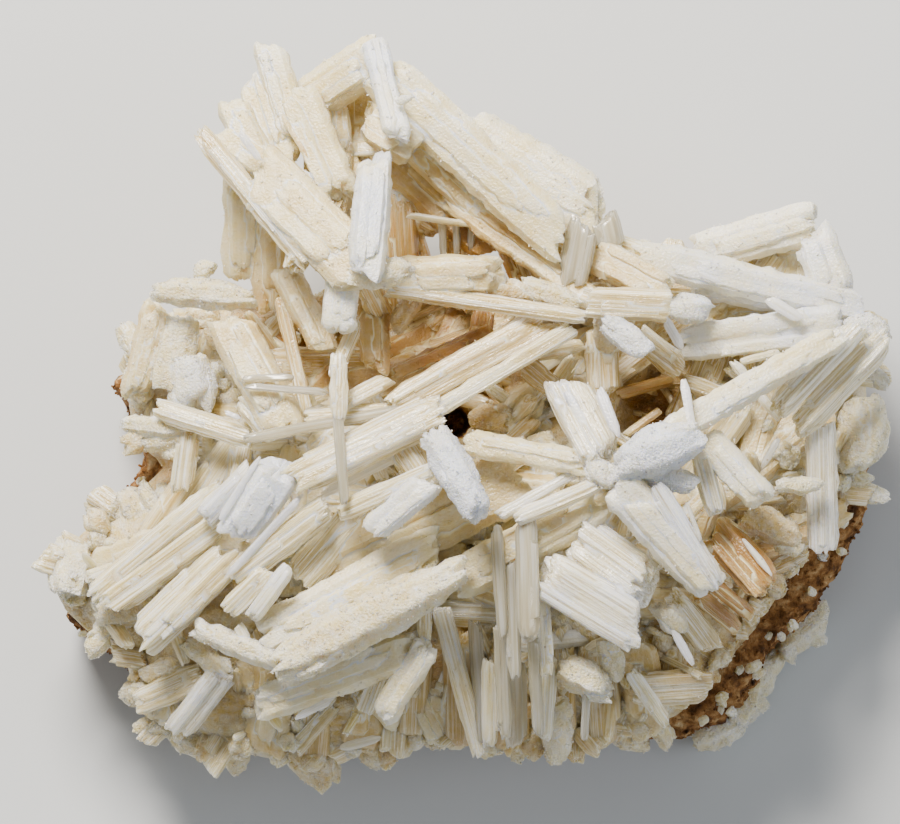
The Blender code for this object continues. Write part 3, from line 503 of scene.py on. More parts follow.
def plank(
    width, thickness, span, at=(0, 0), bevel=0.3, flute=0.08, ragged=0.06,
    lumps=0.02, point=0.0, rings=RING_PITCH, zone=END_ZONE,
):
    """Corners (across, up, along) and faces of one plank, in millimetres."""
    start, end = span
    length = end - start
    pitch = max(FLUTE_PITCH, min(width, thickness) * PITCH_SHARE)
    points = section_points(section_corners(width, thickness, bevel), pitch)
    count = len(points)
    strips = strips_round(count, flute, length)
    lean = [rng.uniform(-END_LEAN, END_LEAN) for _ in range(4)]
    grow = rng.uniform(-0.1, 0.1)
    seat = anywhere()
    inner = min(MOST_RINGS, max(FEWEST_RINGS, round(length / rings)))
    stations = [0.0, END_STEP, *[k / inner for k in range(1, inner)], 1 - END_STEP, 1.0]
    corners = []
    for t in stations:
        near_start = max(0.0, 1 - t / zone)
        near_end = max(0.0, 1 - (1 - t) / zone)
        size = (1 + grow * (t - 0.5)) * (1 - point * near_end**2) * (1 - 0.7 * point * near_start**2)
        size *= 1 + SWELL * noise.noise(seat + Vector((0, 0, t * length * SWELL_CELLS)))
        if t in (0.0, 1.0):
            size *= END_SIZE
        for (u, v, out_u, out_v), (level, stop, back, fore) in zip(points, strips):
            depth = level - (2.0 * flute if t > stop else 0.0)
            s = start + length * t
            # Edges are the most ragged, and lumps lie all over.
            spot = Vector((u * TOOTH_CELLS[0], v * TOOTH_CELLS[0], s * TOOTH_CELLS[1]))
            tooth = noise.noise(spot + seat) * ragged * (abs(u) / width * 2) ** 2
            spot = Vector((u, v, s * 0.8))
            swell = noise.noise(spot * LUMP_CELLS[0] - seat)
            swell += 0.45 * noise.noise(spot * LUMP_CELLS[1] + seat)
            depth += tooth * 2 + swell * lumps * 2
            s += near_start * (back + lean[0] * u + lean[1] * v)
            s += near_end * (-fore + lean[2] * u + lean[3] * v)
            corners.append((at[0] + u * size + out_u * depth, at[1] + v * size + out_v * depth, s))
    faces = []
    for ring in range(0, (len(stations) - 1) * count, count):
        for k in range(count):
            nxt = (k + 1) % count
            faces.append((ring + k, ring + nxt, ring + count + nxt, ring + count + k))
    dent = min(width, thickness) * DENT
    close_end(corners, faces, 0, count, False, dent)
    close_end(corners, faces, (len(stations) - 1) * count, count, True, dent)
    return corners, faces


# %% [markdown]
# A wide crystal is a parallel growth: a core with a few narrower planks set in
# its faces, mostly the upper one, that start and stop at their own places. A
# sugary one has a lumpy skin and knobs. Each habit is a short function that
# gives the planks of one crystal from its width, its thickness and its length.


# %% The planks of each habit
def lath_planks(width, thickness, length):
    """A thin flat needle with a drawn-out point."""
    thin = max(0.3, width * 0.3)
    return [plank(width, thin, (0, length), bevel=0.5, flute=0.04, ragged=0.05, point=0.7)]


def prism_planks(width, thickness, length):
    """A plain prism, with one narrow prism grown on it if it is wide enough."""
    made = [plank(width, thickness, (0, length), bevel=0.45, flute=0.05, ragged=0.03, point=0.25)]
    if width > 1.4:
        side = rng.choice((-1, 1)) * width * 0.3
        narrow = width * rng.uniform(0.3, 0.45)
        span = (length * rng.uniform(0.0, 0.25), length * rng.uniform(0.6, 0.97))
        made.append(plank(narrow, narrow, span, at=(side, thickness * 0.26), flute=0.04))
    return made


def frosted_planks(width, thickness, length):
    """A rounded lumpy crystal with knobs, more of them on a large one."""
    skin = {"bevel": 0.5, "flute": 0.03, "ragged": 0.15, "rings": 0.5, "zone": 0.45}
    made = [plank(width * 0.95, thickness, (0, length), lumps=0.13, point=rng.uniform(0.25, 0.5), **skin)]
    for _ in range(1 + round(length * width / 18)):
        size = rng.uniform(0.35, 0.6) * width
        angle = rng.uniform(0, math.tau)
        spot = (math.cos(angle) * (width - size) / 2.1, math.sin(angle) * (thickness - size * 0.8) / 2.1)
        first = rng.uniform(-0.05, 0.7) * length
        span = (first, min(length * 1.03, first + rng.uniform(1.1, 2.2) * size))
        made.append(plank(size, size * 0.8, span, at=spot, lumps=0.1, point=0.6, **skin))
    return made


def blade_planks(width, thickness, length):
    """A broad smooth blade with worn edges and a step or two on its upper face."""
    edge = {"flute": 0.015, "ragged": 0.16, "rings": 0.8}
    made = [plank(width * 0.97, thickness * 0.9, (0, length), lumps=0.06, point=0.2, **edge)]
    for _ in range(1 + round(width / 6)):
        wide = width * rng.uniform(0.3, 0.5)
        spot = (rng.uniform(-0.5, 0.5) * (width - wide), thickness * 0.36)
        span = (rng.uniform(0.0, 0.3) * length, rng.uniform(0.7, 0.98) * length)
        made.append(plank(wide, thickness * 0.44, span, at=spot, lumps=0.03, point=0.3, **edge))
    return made


def bundle_planks(width, thickness, length):
    """A core with narrow ribs in its faces, two in three of them in the upper one."""
    core = {"bevel": rng.uniform(0.2, 0.6), "flute": min(0.05, width * 0.02), "point": rng.uniform(0.0, 0.4)}
    made = [plank(width * 0.94, thickness * 0.88, (0, length), ragged=0.1, lumps=0.04, zone=0.2, **core)]
    for _ in range(max(1, round(width / 1.7))):
        narrow = rng.uniform(0.2, 0.5) * width if width < 2.4 else rng.uniform(0.45, 0.45 * width)
        if rng.random() < 0.68:
            spot = (rng.uniform(-0.5, 0.5) * (width - narrow), thickness * 0.44 - narrow * 0.24)
        else:
            angle = rng.uniform(0, math.tau)
            spot = (math.cos(angle) * (width - narrow) * 0.48, math.sin(angle) * (thickness - narrow) * 0.45)
        first = max(0.0, rng.uniform(-0.2, 0.25)) * length
        last = min(1.0, rng.uniform(0.7, 1.15)) * length
        if rng.random() < 0.25:
            last = first + rng.uniform(0.3, 0.8) * (last - first)
        low = narrow * rng.uniform(0.5, 0.7)
        made.append(plank(narrow, low, (first, last), at=spot, bevel=0.35, flute=0.02, ragged=0.03))
    return made


# For each habit its planks, how sugary its skin is and how strongly it is lined.
HABITS = {
    BUNDLE: (bundle_planks, 0.05, 1.0),
    BLADE: (blade_planks, 0.3, 0.12),
    FROST: (frosted_planks, 1.0, 0.1),
    PRISM: (prism_planks, 0.0, 0.8),
    CLEAR: (prism_planks, 0.0, 1.0),
    LATH: (lath_planks, 0.0, 0.4),
}
# How far a crystal is turned about its length, in radians, and how far its planks differ in tone.
ROLL = 0.22
TONE_SPREAD = 0.05


# %% Whole crystals
def crystal_meshes(row):
    """One mesh per plank of a crystal, in model millimetres, with its attributes."""
    start, end = place(*row[0]), place(*row[1])
    width, habit, tone = row[2:5]
    thickness = row[5] if len(row) > 5 else width * FLATNESS
    forward = (end - start).normalized()
    across = Vector((0, 0, 1)).cross(forward).normalized()
    upward = forward.cross(across)
    roll = rng.uniform(-ROLL, ROLL)
    across, upward = (
        across * math.cos(roll) + upward * math.sin(roll),
        upward * math.cos(roll) - across * math.sin(roll),
    )
    offset = anywhere()
    planks, sugar, ribs = HABITS[habit]
    made = []
    for corners, faces in planks(width, thickness, (end - start).length):
        shape = bpy.data.meshes.new("plank")
        points = [start + across * u + upward * v + forward * s for u, v, s in corners]
        shape.from_pydata([tuple(p) for p in points], [], faces)
        shade = tone + rng.uniform(-TONE_SPREAD, TONE_SPREAD)
        for key, value in (("tone", shade), ("sugar", sugar), ("ribs", ribs)):
            write(shape, key, [value] * len(points))
        # The place along and across the crystal, for patterns that follow it.
        grain = shape.attributes.new("grain", "FLOAT_VECTOR", "POINT")
        grain.data.foreach_set("vector", [c for corner in corners for c in (Vector(corner) + offset)])
        made.append(shape)
    return made


def fused(name, rows):
    """The crystals of all the rows joined into one closed mesh."""
    shapes = [shape for row in rows for shape in crystal_meshes(row)]
    operands = bpy.data.collections.new("planks of " + name)
    bpy.context.scene.collection.children.link(operands)
    body = bpy.data.objects.new(name, shapes[0])
    bpy.context.scene.collection.objects.link(body)
    for shape in shapes[1:]:
        operands.objects.link(bpy.data.objects.new("plank", shape))
    step = body.modifiers.new("fuse", "BOOLEAN")
    step.operation = "UNION"
    step.operand_type = "COLLECTION"
    step.collection = operands
    step.solver = "MANIFOLD"
    mesh = settled(body)
    for thing in list(operands.objects) + [body]:
        bpy.data.objects.remove(thing)
    bpy.data.collections.remove(operands)
    mesh.name = name
    print(name, len(shapes), "planks,", len(mesh.polygons), "faces")
    return mesh


# %% Fuse the crystals region by region
meshes = {}
for name, rows in REGIONS.items():
    meshes[name] = fused(name, [row for row in rows if row[3] != CLEAR])
clear_rows = [row for rows in REGIONS.values() for row in rows if row[3] == CLEAR]
meshes["crystals_clear"] = fused("crystals_clear", clear_rows)

# %% [markdown]
# ## The mound and what grows on it
#
# The mound is the mass of crystal roots under the free crystals. It falls away
# to its rim and has hollows, whose tone is deepened as painted shade. Like the
# slab below it, it is a loft: rings of points with its outline's shape, each at
# its own size and height, closed at the foot and at the top.

# %% The mound's shape
MOUND_OUTLINE = [
    (17.0, 32.0), (22.0, 29.8), (28.0, 30.5), (34.0, 30.5), (42.0, 28.2), (50.0, 28.6),
    (56.0, 26.6), (61.0, 25.5), (68.0, 25.5), (74.0, 24.5), (80.0, 24.5), (84.0, 28.0),
    (86.3, 33.0), (86.8, 40.0), (87.0, 46.5), (85.3, 50.2), (80.5, 55.5), (76.0, 62.5),
    (72.5, 66.5), (68.0, 71.5), (62.0, 74.0), (55.0, 74.3), (47.0, 74.2), (38.0, 74.5),
    (30.0, 76.5), (22.0, 75.0), (16.0, 73.5), (13.5, 70.0), (12.5, 66.0), (9.0, 63.5),
    (6.2, 60.8), (5.4, 58.0), (7.0, 54.5), (10.5, 51.0), (14.0, 49.0), (16.5, 46.6),
    (13.8, 44.5), (12.8, 41.0), (12.9, 36.0),
]
MOUND_MIDDLE = (48.0, 51.0)
# Height of the mound at each fraction of the way from its middle to its rim.
MOUND_PROFILE = [(0.0, 20.5), (0.3, 20.3), (0.58, 19.3), (0.8, 17.2), (0.93, 14.8), (1.0, 11.6)]
MOUND_FLOOR = 9.0
# Height that its upper face nowhere goes below.
MOUND_LOWEST = MOUND_FLOOR + 0.6
MOUND_SPOKES = 240
MOUND_RINGS = 64
# Sheet x, sheet y, radius and depth.
HOLLOWS = [(44.5, 34.0, 6.0, 6.0), (65.0, 40.0, 4.0, 4.5), (45.5, 42.3, 1.7, 9.0), (32.0, 35.5, 3.0, 4.0)]
# The deep hole in the middle: sheet x, sheet y and radius, and the near black tone of the painted shade in
# it.
DARK_HOLE = (45.5, 42.3, 1.5)
HOLE_SHADE_TONE = 1.5
# Where the gossan shows at the left rim: sheet x, sheet y and radius.
BARE_SPOTS = [(15.2, 47.2, 1.7), (11.8, 39.3, 1.3)]
# Farther than any outline reaches.
FAR_OUT = 200.0


def between(pairs, t):
    """Straight interpolation in a list of (place, value)."""
    for (a, low), (b, high) in zip(pairs, pairs[1:]):
        if t <= b:
            return low + (high - low) * (t - a) / (b - a)
    return pairs[-1][1]


def rim_reach(outline, middle, angle):
    """Distance from the middle to the outline along a heading."""
    far = toward(middle, angle, FAR_OUT)
    rx, ry = far[0] - middle[0], far[1] - middle[1]
    best = 0.0
    for (ax, ay), (bx, by) in zip(outline, outline[1:] + outline[:1]):
        dx, dy = bx - ax, by - ay
        cross = rx * dy - ry * dx
        if abs(cross) < 1e-9:
            continue
        along = ((ax - middle[0]) * dy - (ay - middle[1]) * dx) / cross
        side = ((ax - middle[0]) * ry - (ay - middle[1]) * rx) / cross
        if 0 <= side <= 1 and along > 0:
            best = max(best, along * FAR_OUT)
    return best


def rim_share(x, y):
    """Way from the mound's middle to its rim, 1 at the rim."""
    dx, dy = x - MOUND_MIDDLE[0], y - MOUND_MIDDLE[1]
    return math.hypot(dx, dy) / rim_reach(MOUND_OUTLINE, MOUND_MIDDLE, math.atan2(dy, dx))


def mound_height(x, y):
    """Height of the mound over a sheet point."""
    z = between(MOUND_PROFILE, min(rim_share(x, y), 1.0))
    for hx, hy, radius, depth in HOLLOWS:
        z -= depth * math.exp(-(((x - hx) ** 2 + (y - hy) ** 2) / radius**2))
    z += 1.1 * noise.noise(Vector((x, y, 3.0)) * 0.45) + 0.5 * noise.noise(Vector((x, y, 9.0)) * 1.3)
    return max(z, MOUND_LOWEST)


def closed_loft(name, rings, peak):
    """A closed mesh from rings of points, with a flat foot and a point on top."""
    count = len(rings[0])
    points = [p for ring in rings for p in ring] + [peak]
    last = (len(rings) - 1) * count
    faces = []
    for base in range(0, last, count):
        for k in range(count):
            nxt = (k + 1) % count
            faces.append((base + k, base + count + k, base + count + nxt, base + nxt))
    faces.append(tuple(range(count)))
    faces += [(last + (k + 1) % count, last + k, last + count) for k in range(count)]
    mesh = bpy.data.meshes.new(name)
    mesh.from_pydata([tuple(p) for p in points], [], faces)
    mesh.validate()
    return mesh


# %% The mound
def mound_mesh():
    """The mound, with its tone, painted shade in the deep hole, and sugar written on its points."""
    angles = [math.tau * k / MOUND_SPOKES for k in range(MOUND_SPOKES)]
    edges = [(a, rim_reach(MOUND_OUTLINE, MOUND_MIDDLE, a)) for a in angles]
    rings = [
        [place(*toward(MOUND_MIDDLE, a, r * t), z) for a, r in edges]
        for t, z in ((0.9, MOUND_FLOOR), (0.97, MOUND_FLOOR + 0.5))
    ]
    for n in range(MOUND_RINGS):
        t = 1.0 - n / MOUND_RINGS
        spots = [toward(MOUND_MIDDLE, a, r * t) for a, r in edges]
        rings.append([place(x, y, mound_height(x, y)) for x, y in spots])
    mesh = closed_loft("mound", rings, place(*MOUND_MIDDLE, mound_height(*MOUND_MIDDLE)))
    # Points in the deep hole take the near black of painted shade; the rest a tone that drifts.
    tones = []
    for v in mesh.vertices:
        hole = math.hypot(v.co.x + SHEET_X - DARK_HOLE[0], SHEET_Y - v.co.y - DARK_HOLE[1])
        tones.append(HOLE_SHADE_TONE if hole < DARK_HOLE[2] else 0.42 + 0.25 * noise.noise(v.co * 0.18))
    write(mesh, "tone", tones)
    write(mesh, "sugar", [1.0] * len(tones))
    grain = mesh.attributes.new("grain", "FLOAT_VECTOR", "POINT")
    grain.data.foreach_set("vector", [c for v in mesh.vertices for c in v.co])
    return mesh


meshes["crystal_mound"] = mound_mesh()
print("mound", len(meshes["crystal_mound"].polygons), "faces")

# %% [markdown]
# Broad crystals lie half sunk in the mound and hide it, mostly along the run of
# the large ones above them. Slim ones stand up between them, stubby sugary ones
# cover its lower part, and more of these stand out of its rim.

# %% Where the crystals between the named ones may lie
SCATTER_X = (5.0, 88.0)
SCATTER_Y = (24.0, 77.0)
# Clear space round the middle of the dark hole.
HOLE_CLEAR = 2.8


def mound_spot():
    """A random sheet point on the mound, clear of the dark hole."""
    while True:
        x, y = rng.uniform(*SCATTER_X), rng.uniform(*SCATTER_Y)
        if rim_share(x, y) < 0.97 and math.hypot(x - DARK_HOLE[0], y - DARK_HOLE[1]) > HOLE_CLEAR:
            return x, y


def clear_of_holes(row):
    """Whether a crystal passes the dark hole and the bare gossan by."""
    (ax, ay, _), (bx, by, _), width = row[:3]
    dx, dy = bx - ax, by - ay
    for hx, hy, radius in [DARK_HOLE, *BARE_SPOTS]:
        share = min(1.0, max(0.0, ((hx - ax) * dx + (hy - ay) * dy) / (dx * dx + dy * dy)))
        if math.hypot(ax + dx * share - hx, ay + dy * share - hy) < radius * 0.8 + width / 2:
            return False
    return True


def patchy_tone(x, y, middle, spread):
    """A tone that drifts over the mound and differs from crystal to crystal."""
    return middle + 0.14 * noise.noise(Vector((x, y, 0)) * 0.12) + rng.uniform(-spread, spread)


# %% Broad and slim crystals
BROAD_COUNT = 200
SLIM_COUNT = 230
# The usual heading, in sheet radians from +x towards +y, and its spread.
MAIN_HEADING = -0.5
MAIN_SPREAD = 0.55
# Below this sheet y the crystals run down the picture, with this spread.
LOWER_EDGE = 62.0
LOWER_SPREAD = 0.45


def broad_rows():
    """Wide crystals half sunk in the mound."""
    made = []
    while len(made) < BROAD_COUNT:
        x, y = mound_spot()
        width = rng.uniform(1.9, 4.2)
        length = width * rng.uniform(2.4, 4.6)
        heading = rng.gauss(MAIN_HEADING, MAIN_SPREAD)
        if y > LOWER_EDGE:
            heading = rng.gauss(math.pi / 2, LOWER_SPREAD)
        tip = toward((x, y), heading, length)
        while rim_share(*tip) > 1.0 and length > 1.5 * width:
            length *= 0.8
            tip = toward((x, y), heading, length)
        if rim_share(*tip) > 1.0:
            continue
        first = mound_height(x, y) + rng.uniform(-1.2, 0.4)
        last = mound_height(*tip) + rng.uniform(-0.4, 1.6)
        tone = patchy_tone(x, y, 0.34, 0.05)
        row = ((x, y, first), (*tip, last), width, rng.choice((BLADE, BLADE, PRISM, BUNDLE)), tone)
        if clear_of_holes(row):
            made.append(row)
    return made


def slim_rows():
    """Slim crystals that lean out of the mound, lower than the named ones."""
    made = []
    while len(made) < SLIM_COUNT:
        x, y = mound_spot()
        width = rng.uniform(0.6, 1.8)
        length = width * rng.uniform(3.0, 6.5)
        heading = rng.uniform(0, math.tau)
        slope = rng.uniform(0.1, 0.9)
        z = mound_height(x, y)
        tip = toward((x, y), heading, length * math.cos(slope))
        if rim_share(*tip) > 1.03:
            continue
        tone = patchy_tone(x, y, 0.32, 0.08)
        end = (*tip, z + min(3.2, length * math.sin(slope)))
        row = ((x, y, z - 1.0), end, width, rng.choice((PRISM, PRISM, BUNDLE, LATH)), tone)
        if clear_of_holes(row):
            made.append(row)
    return made


# %% Stubby crystals on the mound's lower part and its rim
RIM_COUNT = 130
DRUSE_COUNT = 100
# Headings between which the gossan shows past the rim, and how short its crystals are there.
BARE_RIM = (0.0, 0.9)
BARE_SHORTER = 0.6
# Way from the mound's middle to its rim from which the druse grows.
DRUSE_FROM = 0.7


def druse_rows():
    """Small sugary crystals on the lower part of the mound."""
    made = []
    while len(made) < DRUSE_COUNT:
        x, y = mound_spot()
        if rim_share(x, y) < DRUSE_FROM:
            continue
        tip = toward((x, y), rng.uniform(0, math.tau), rng.uniform(0.3, 1.6))
        z = mound_height(x, y)
        end = (*tip, z + rng.uniform(0.6, 1.6))
        if rim_share(*tip) < 1.02:
            made.append(((x, y, z - 0.6), end, rng.uniform(1.4, 3.0), FROST, rng.uniform(0.16, 0.36)))
    return made


def rim_rows():
    """Stubby crystals that stand out of the mound's rim."""
    made = []
    for k in range(RIM_COUNT):
        angle = math.tau * (k + rng.uniform(-0.4, 0.4)) / RIM_COUNT
        reach = rim_reach(MOUND_OUTLINE, MOUND_MIDDLE, angle) - rng.uniform(1.2, 2.6)
        spot = toward(MOUND_MIDDLE, angle, reach)
        z = rng.uniform(11.5, 14.8)
        heading = angle + rng.uniform(-0.9, 0.9)
        length = rng.uniform(2.0, 3.6)
        if BARE_RIM[0] < angle < BARE_RIM[1]:
            length *= BARE_SHORTER
        end = (*toward(spot, heading, length), z + rng.uniform(-0.8, 1.0))
        habit = rng.choice((FROST, FROST, PRISM, BUNDLE))
        row = ((*spot, z), end, rng.uniform(1.8, 3.6), habit, rng.uniform(0.22, 0.42))
        if clear_of_holes(row):
            made.append(row)
    return made


FILL_ROWS = {
    "crystals_broad": broad_rows(),
    "crystals_slim": slim_rows(),
    "crystals_rim": rim_rows(),
    "crystals_druse": druse_rows(),
}
for name, rows in FILL_ROWS.items():
    meshes[name] = fused(name, rows)

# %% [markdown]
# ## The gossan slab and the crust on its far side
#
# Gossan is what is left of an ore vein once its sulphides have rusted away: an
# earthy, pitted mass. The slab is lumpy on top and round its sides, which three
# sizes of noise give, and sawn flat below, so that the specimen stands.

# %% The slab
SLAB_OUTLINE = [
    (11.0, 38.5), (13.8, 33.5), (18.0, 31.0), (28.0, 32.0), (38.0, 33.0), (50.0, 32.0),
    (58.0, 29.0), (66.0, 27.0), (76.0, 26.0), (82.0, 29.0), (85.5, 35.0), (87.2, 42.0),
    (87.3, 50.0), (84.5, 57.0), (81.0, 62.0), (77.0, 65.6), (75.5, 69.0), (73.0, 72.5),
    (68.0, 74.3), (60.0, 73.0), (46.0, 73.0), (38.0, 73.0), (30.0, 75.0), (20.0, 73.5),
    (13.5, 69.5), (12.2, 66.4), (8.6, 64.4), (6.0, 61.8), (7.4, 56.5), (10.5, 51.0),
    (14.0, 46.5), (13.2, 42.5),
]
SLAB_MIDDLE = (47.5, 51.0)
SLAB_SPOKES = 420
SLAB_TOP = 12.0
# Size of the outline at each height.
SLAB_PROFILE = [(0.0, 0.95), (2.2, 0.985), (5.8, 1.0), (9.2, 0.985), (11.2, 0.93), (SLAB_TOP, 0.78)]
# Heights of the rings: close together at the top edge, where the slab shows from above.
SLAB_RINGS = [0.0, 0.25] + [0.7 + 0.45 * n for n in range(23)] + [11.0 + 0.1 * n for n in range(11)]
# Heights from which the skin is sugary, lumpy and crumbly, so that the sawn face stays flat.
SUGAR_FROM = 0.4
LUMPS_FROM = 0.3
CRUMBS_FROM = 1.0


def slab_point(angle, reach, z):
    """A point on the slab's rough skin."""
    away = reach * between(SLAB_PROFILE, z)
    x, y = toward(SLAB_MIDDLE, angle, away)
    spot = Vector((x, y, z))
    lump = 0.8 * noise.noise(spot * 0.35) + 0.55 * noise.noise(spot * 0.9) - 0.35
    lump += 0.4 * noise.noise(spot * 2.2)
    lift = 0.5 * noise.noise(spot * 0.8 + Vector((7, 7, 7))) if z > LUMPS_FROM else 0.0
    lift += 0.45 * noise.noise(spot * 1.7) if z > CRUMBS_FROM else 0.0
    return place(*toward((x, y), angle, lump), z + lift)


def slab_mesh():
    """The gossan slab, with sugar written on its points."""
    angles = [math.tau * k / SLAB_SPOKES for k in range(SLAB_SPOKES)]
    edges = [(a, rim_reach(SLAB_OUTLINE, SLAB_MIDDLE, a)) for a in angles]
    rings = [[slab_point(a, r, z) for a, r in edges] for z in SLAB_RINGS]
    # Two more rings lie on the flat top, under the mound.
    for t in (0.6, 0.3):
        rings.append([place(*toward(SLAB_MIDDLE, a, r * t), SLAB_TOP) for a, r in edges])
    mesh = closed_loft("gossan", rings, place(*SLAB_MIDDLE, SLAB_TOP))
    write(mesh, "sugar", [1.0 if v.co.z > SUGAR_FROM else 0.0 for v in mesh.vertices])
    return mesh


meshes["gossan_slab"] = slab_mesh()
print("slab", len(meshes["gossan_slab"].polygons), "faces")

# %% Small white crystals strewn on the gossan where it shows
STREWN_COUNT = 34
# Headings from the slab's middle, in sheet radians, between which it shows.
STREWN_HEADINGS = [(0.0, 0.87), (0.3, 0.8), (2.7, 3.55)]


def strewn_rows():
    """Small crystals on the outer edge of the gossan."""
    made = []
    for _ in range(STREWN_COUNT):
        angle = rng.uniform(*rng.choice(STREWN_HEADINGS))
        reach = rim_reach(SLAB_OUTLINE, SLAB_MIDDLE, angle) - rng.uniform(0.1, 2.6)
        spot = toward(SLAB_MIDDLE, angle, reach)
        z = rng.uniform(9.6, 11.6)
        end = (*toward(spot, rng.uniform(0, math.tau), 0.8), z + rng.uniform(0.6, 1.4))
        width = rng.uniform(0.5, 1.2)
        habit = rng.choice((FROST, FROST, PRISM))
        made.append(((*spot, z), end, width, habit, rng.uniform(0.1, 0.3)))
    return made


meshes["crystals_strewn"] = fused("crystals_strewn", strewn_rows())

# %% The crust on the far side
CRUST = [
    ((69.5, 74.2, 3.2), (74.2, 72.4, 3.4), 3.6, FROST, 0.18, 4.6),
    ((73.2, 73.2, 3.4), (75.6, 68.0, 3.4), 3.8, FROST, 0.12, 4.6),
    ((75.2, 69.2, 3.4), (78.0, 64.8, 3.4), 3.8, FROST, 0.15, 4.6),
    ((78.0, 64.6, 3.4), (82.4, 61.4, 3.2), 4.6, FROST, 0.1, 4.6),
    ((72.0, 72.0, 4.0), (73.4, 74.4, 4.4), 2.2, FROST, 0.1),
    ((74.8, 69.8, 3.6), (76.6, 71.0, 3.4), 2.2, FROST, 0.12),
    ((78.4, 64.2, 4.0), (79.6, 66.0, 4.4), 2.2, FROST, 0.05),
    ((80.2, 62.8, 3.6), (82.2, 64.4, 3.4), 2.4, FROST, 0.08),
]
meshes["far_side_crust"] = fused("far_side_crust", CRUST)

# %% [markdown]
# ## Materials
#
# Cerussite is lead carbonate. Light goes into a crystal by a millimetre or two and
# comes out again, which subsurface scattering gives, and its faces shine like
# oiled glass. Its colour starts from the tone of the crystal, and patterns that
# follow the crystal's own length are laid over it one after the other. Attributes
# on the points say how sugary and how ribbed the skin is. The scale of a pattern is
# the number of its cells in a millimetre, and / MM makes it one for metres.

# %% What the materials share
# The high index of lead carbonate gives its adamantine lustre.
CERUSSITE_IOR = 1.8


def new_material(name):
    """A material with its node tree and its shader."""
    made = bpy.data.materials.new(name)
    made.use_nodes = True
    return made, made.node_tree, made.node_tree.nodes["Principled BSDF"]


def drawn_out(tree, grain, across, along, detail):
    """Noise with so many cells to a millimetre across the crystal and along it."""
    scale = (across, across, along)
    squeezed = add(tree, "ShaderNodeMapping", {"Vector": grain, "Scale": scale}).outputs[0]
    return add(tree, "ShaderNodeTexNoise", {0: squeezed, "Scale": 1.0, "Detail": detail}).outputs["Fac"]


def laid(tree, under, code, value, span, shares, weight=1.0):
    """A colour laid over another by shares that follow a value over its span, times a weight."""
    limits = {1: span[0], 2: span[1], 3: shares[0], 4: shares[1]}
    follow = add(tree, "ShaderNodeMapRange", {0: value, **limits}).outputs[0]
    share = add(tree, "ShaderNodeMath", {0: weight, 1: follow}, operation="MULTIPLY").outputs[0]
    return add(tree, "ShaderNodeMix", {0: share, 6: under, 7: linear(code)}, data_type="RGBA").outputs[2]


# %% The colours of cerussite
# Tone, from cold white through cream and ochre to the near black painted shade of the hole.
TONES = [
    (0.0, "#D9E0EC"),
    (0.14, "#EBE7D4"),
    (0.32, "#E6D8A2"),
    (0.55, "#CBAD5E"),
    (0.85, "#A87308"),
    (1.15, "#704408"),
    (1.5, "#2A120A"),
]
TONE_TOP = TONES[-1][0]
# Heights, in metres, from which and to which the tone of a crystal deepens, and by how much: painted shade,
# deeper lower down.
PAINTED_SHADE_HIGH = 0.024
PAINTED_SHADE_LOW = 0.010
PAINTED_SHADE_DEEPENS = 0.14
# Dust of iron oxide, painted shade in the grooves, streaks, painted shade and painted highlight of the fine
# lines, the painted highlight of edges, and frost.
RUST_DUST = "#6E4420"
GROOVE_SHADE_TAN = "#B0955A"
STREAK_TAN = "#B5A26C"
LINE_SHADE_TAN = "#AA945C"
LINE_HIGHLIGHT_WHITE = "#FBFAF4"
EDGE_HIGHLIGHT_WHITE = "#FBFAF2"
FROST_WHITE = "#E7EBF3"


def toned(tree, tone, here):
    """The tone at a point, deepened lower down as painted shade, and its colour."""
    # Lower points take a deeper, more ochre tone: painted shade of the low parts under the crystals.
    height = add(tree, "ShaderNodeSeparateXYZ", {"Vector": here}).outputs["Z"]
    limits = {1: PAINTED_SHADE_HIGH, 2: PAINTED_SHADE_LOW, 3: 0.0, 4: PAINTED_SHADE_DEEPENS}
    depth = add(tree, "ShaderNodeMapRange", {0: height, **limits}).outputs[0]
    # Patches 4 mm wide swing the tone a little.
    patches = add(tree, "ShaderNodeTexNoise", {0: here, "Scale": 0.24 / MM, "Detail": 3.0}).outputs["Fac"]
    swing = add(tree, "ShaderNodeMapRange", {0: patches, 1: 0.3, 2: 0.7, 3: -0.09, 4: 0.09}).outputs[0]
    total = add(tree, "ShaderNodeMath", {0: tone, 1: depth}, operation="ADD").outputs[0]
    total = add(tree, "ShaderNodeMath", {0: total, 1: swing}, operation="ADD").outputs[0]
    scaled = add(tree, "ShaderNodeMath", {0: total, 1: TONE_TOP}, operation="DIVIDE").outputs[0]
    stops = [(at / TONE_TOP, code) for at, code in TONES]
    return total, add(tree, "ShaderNodeValToRGB", {"Fac": scaled}, stops=stops).outputs["Color"]


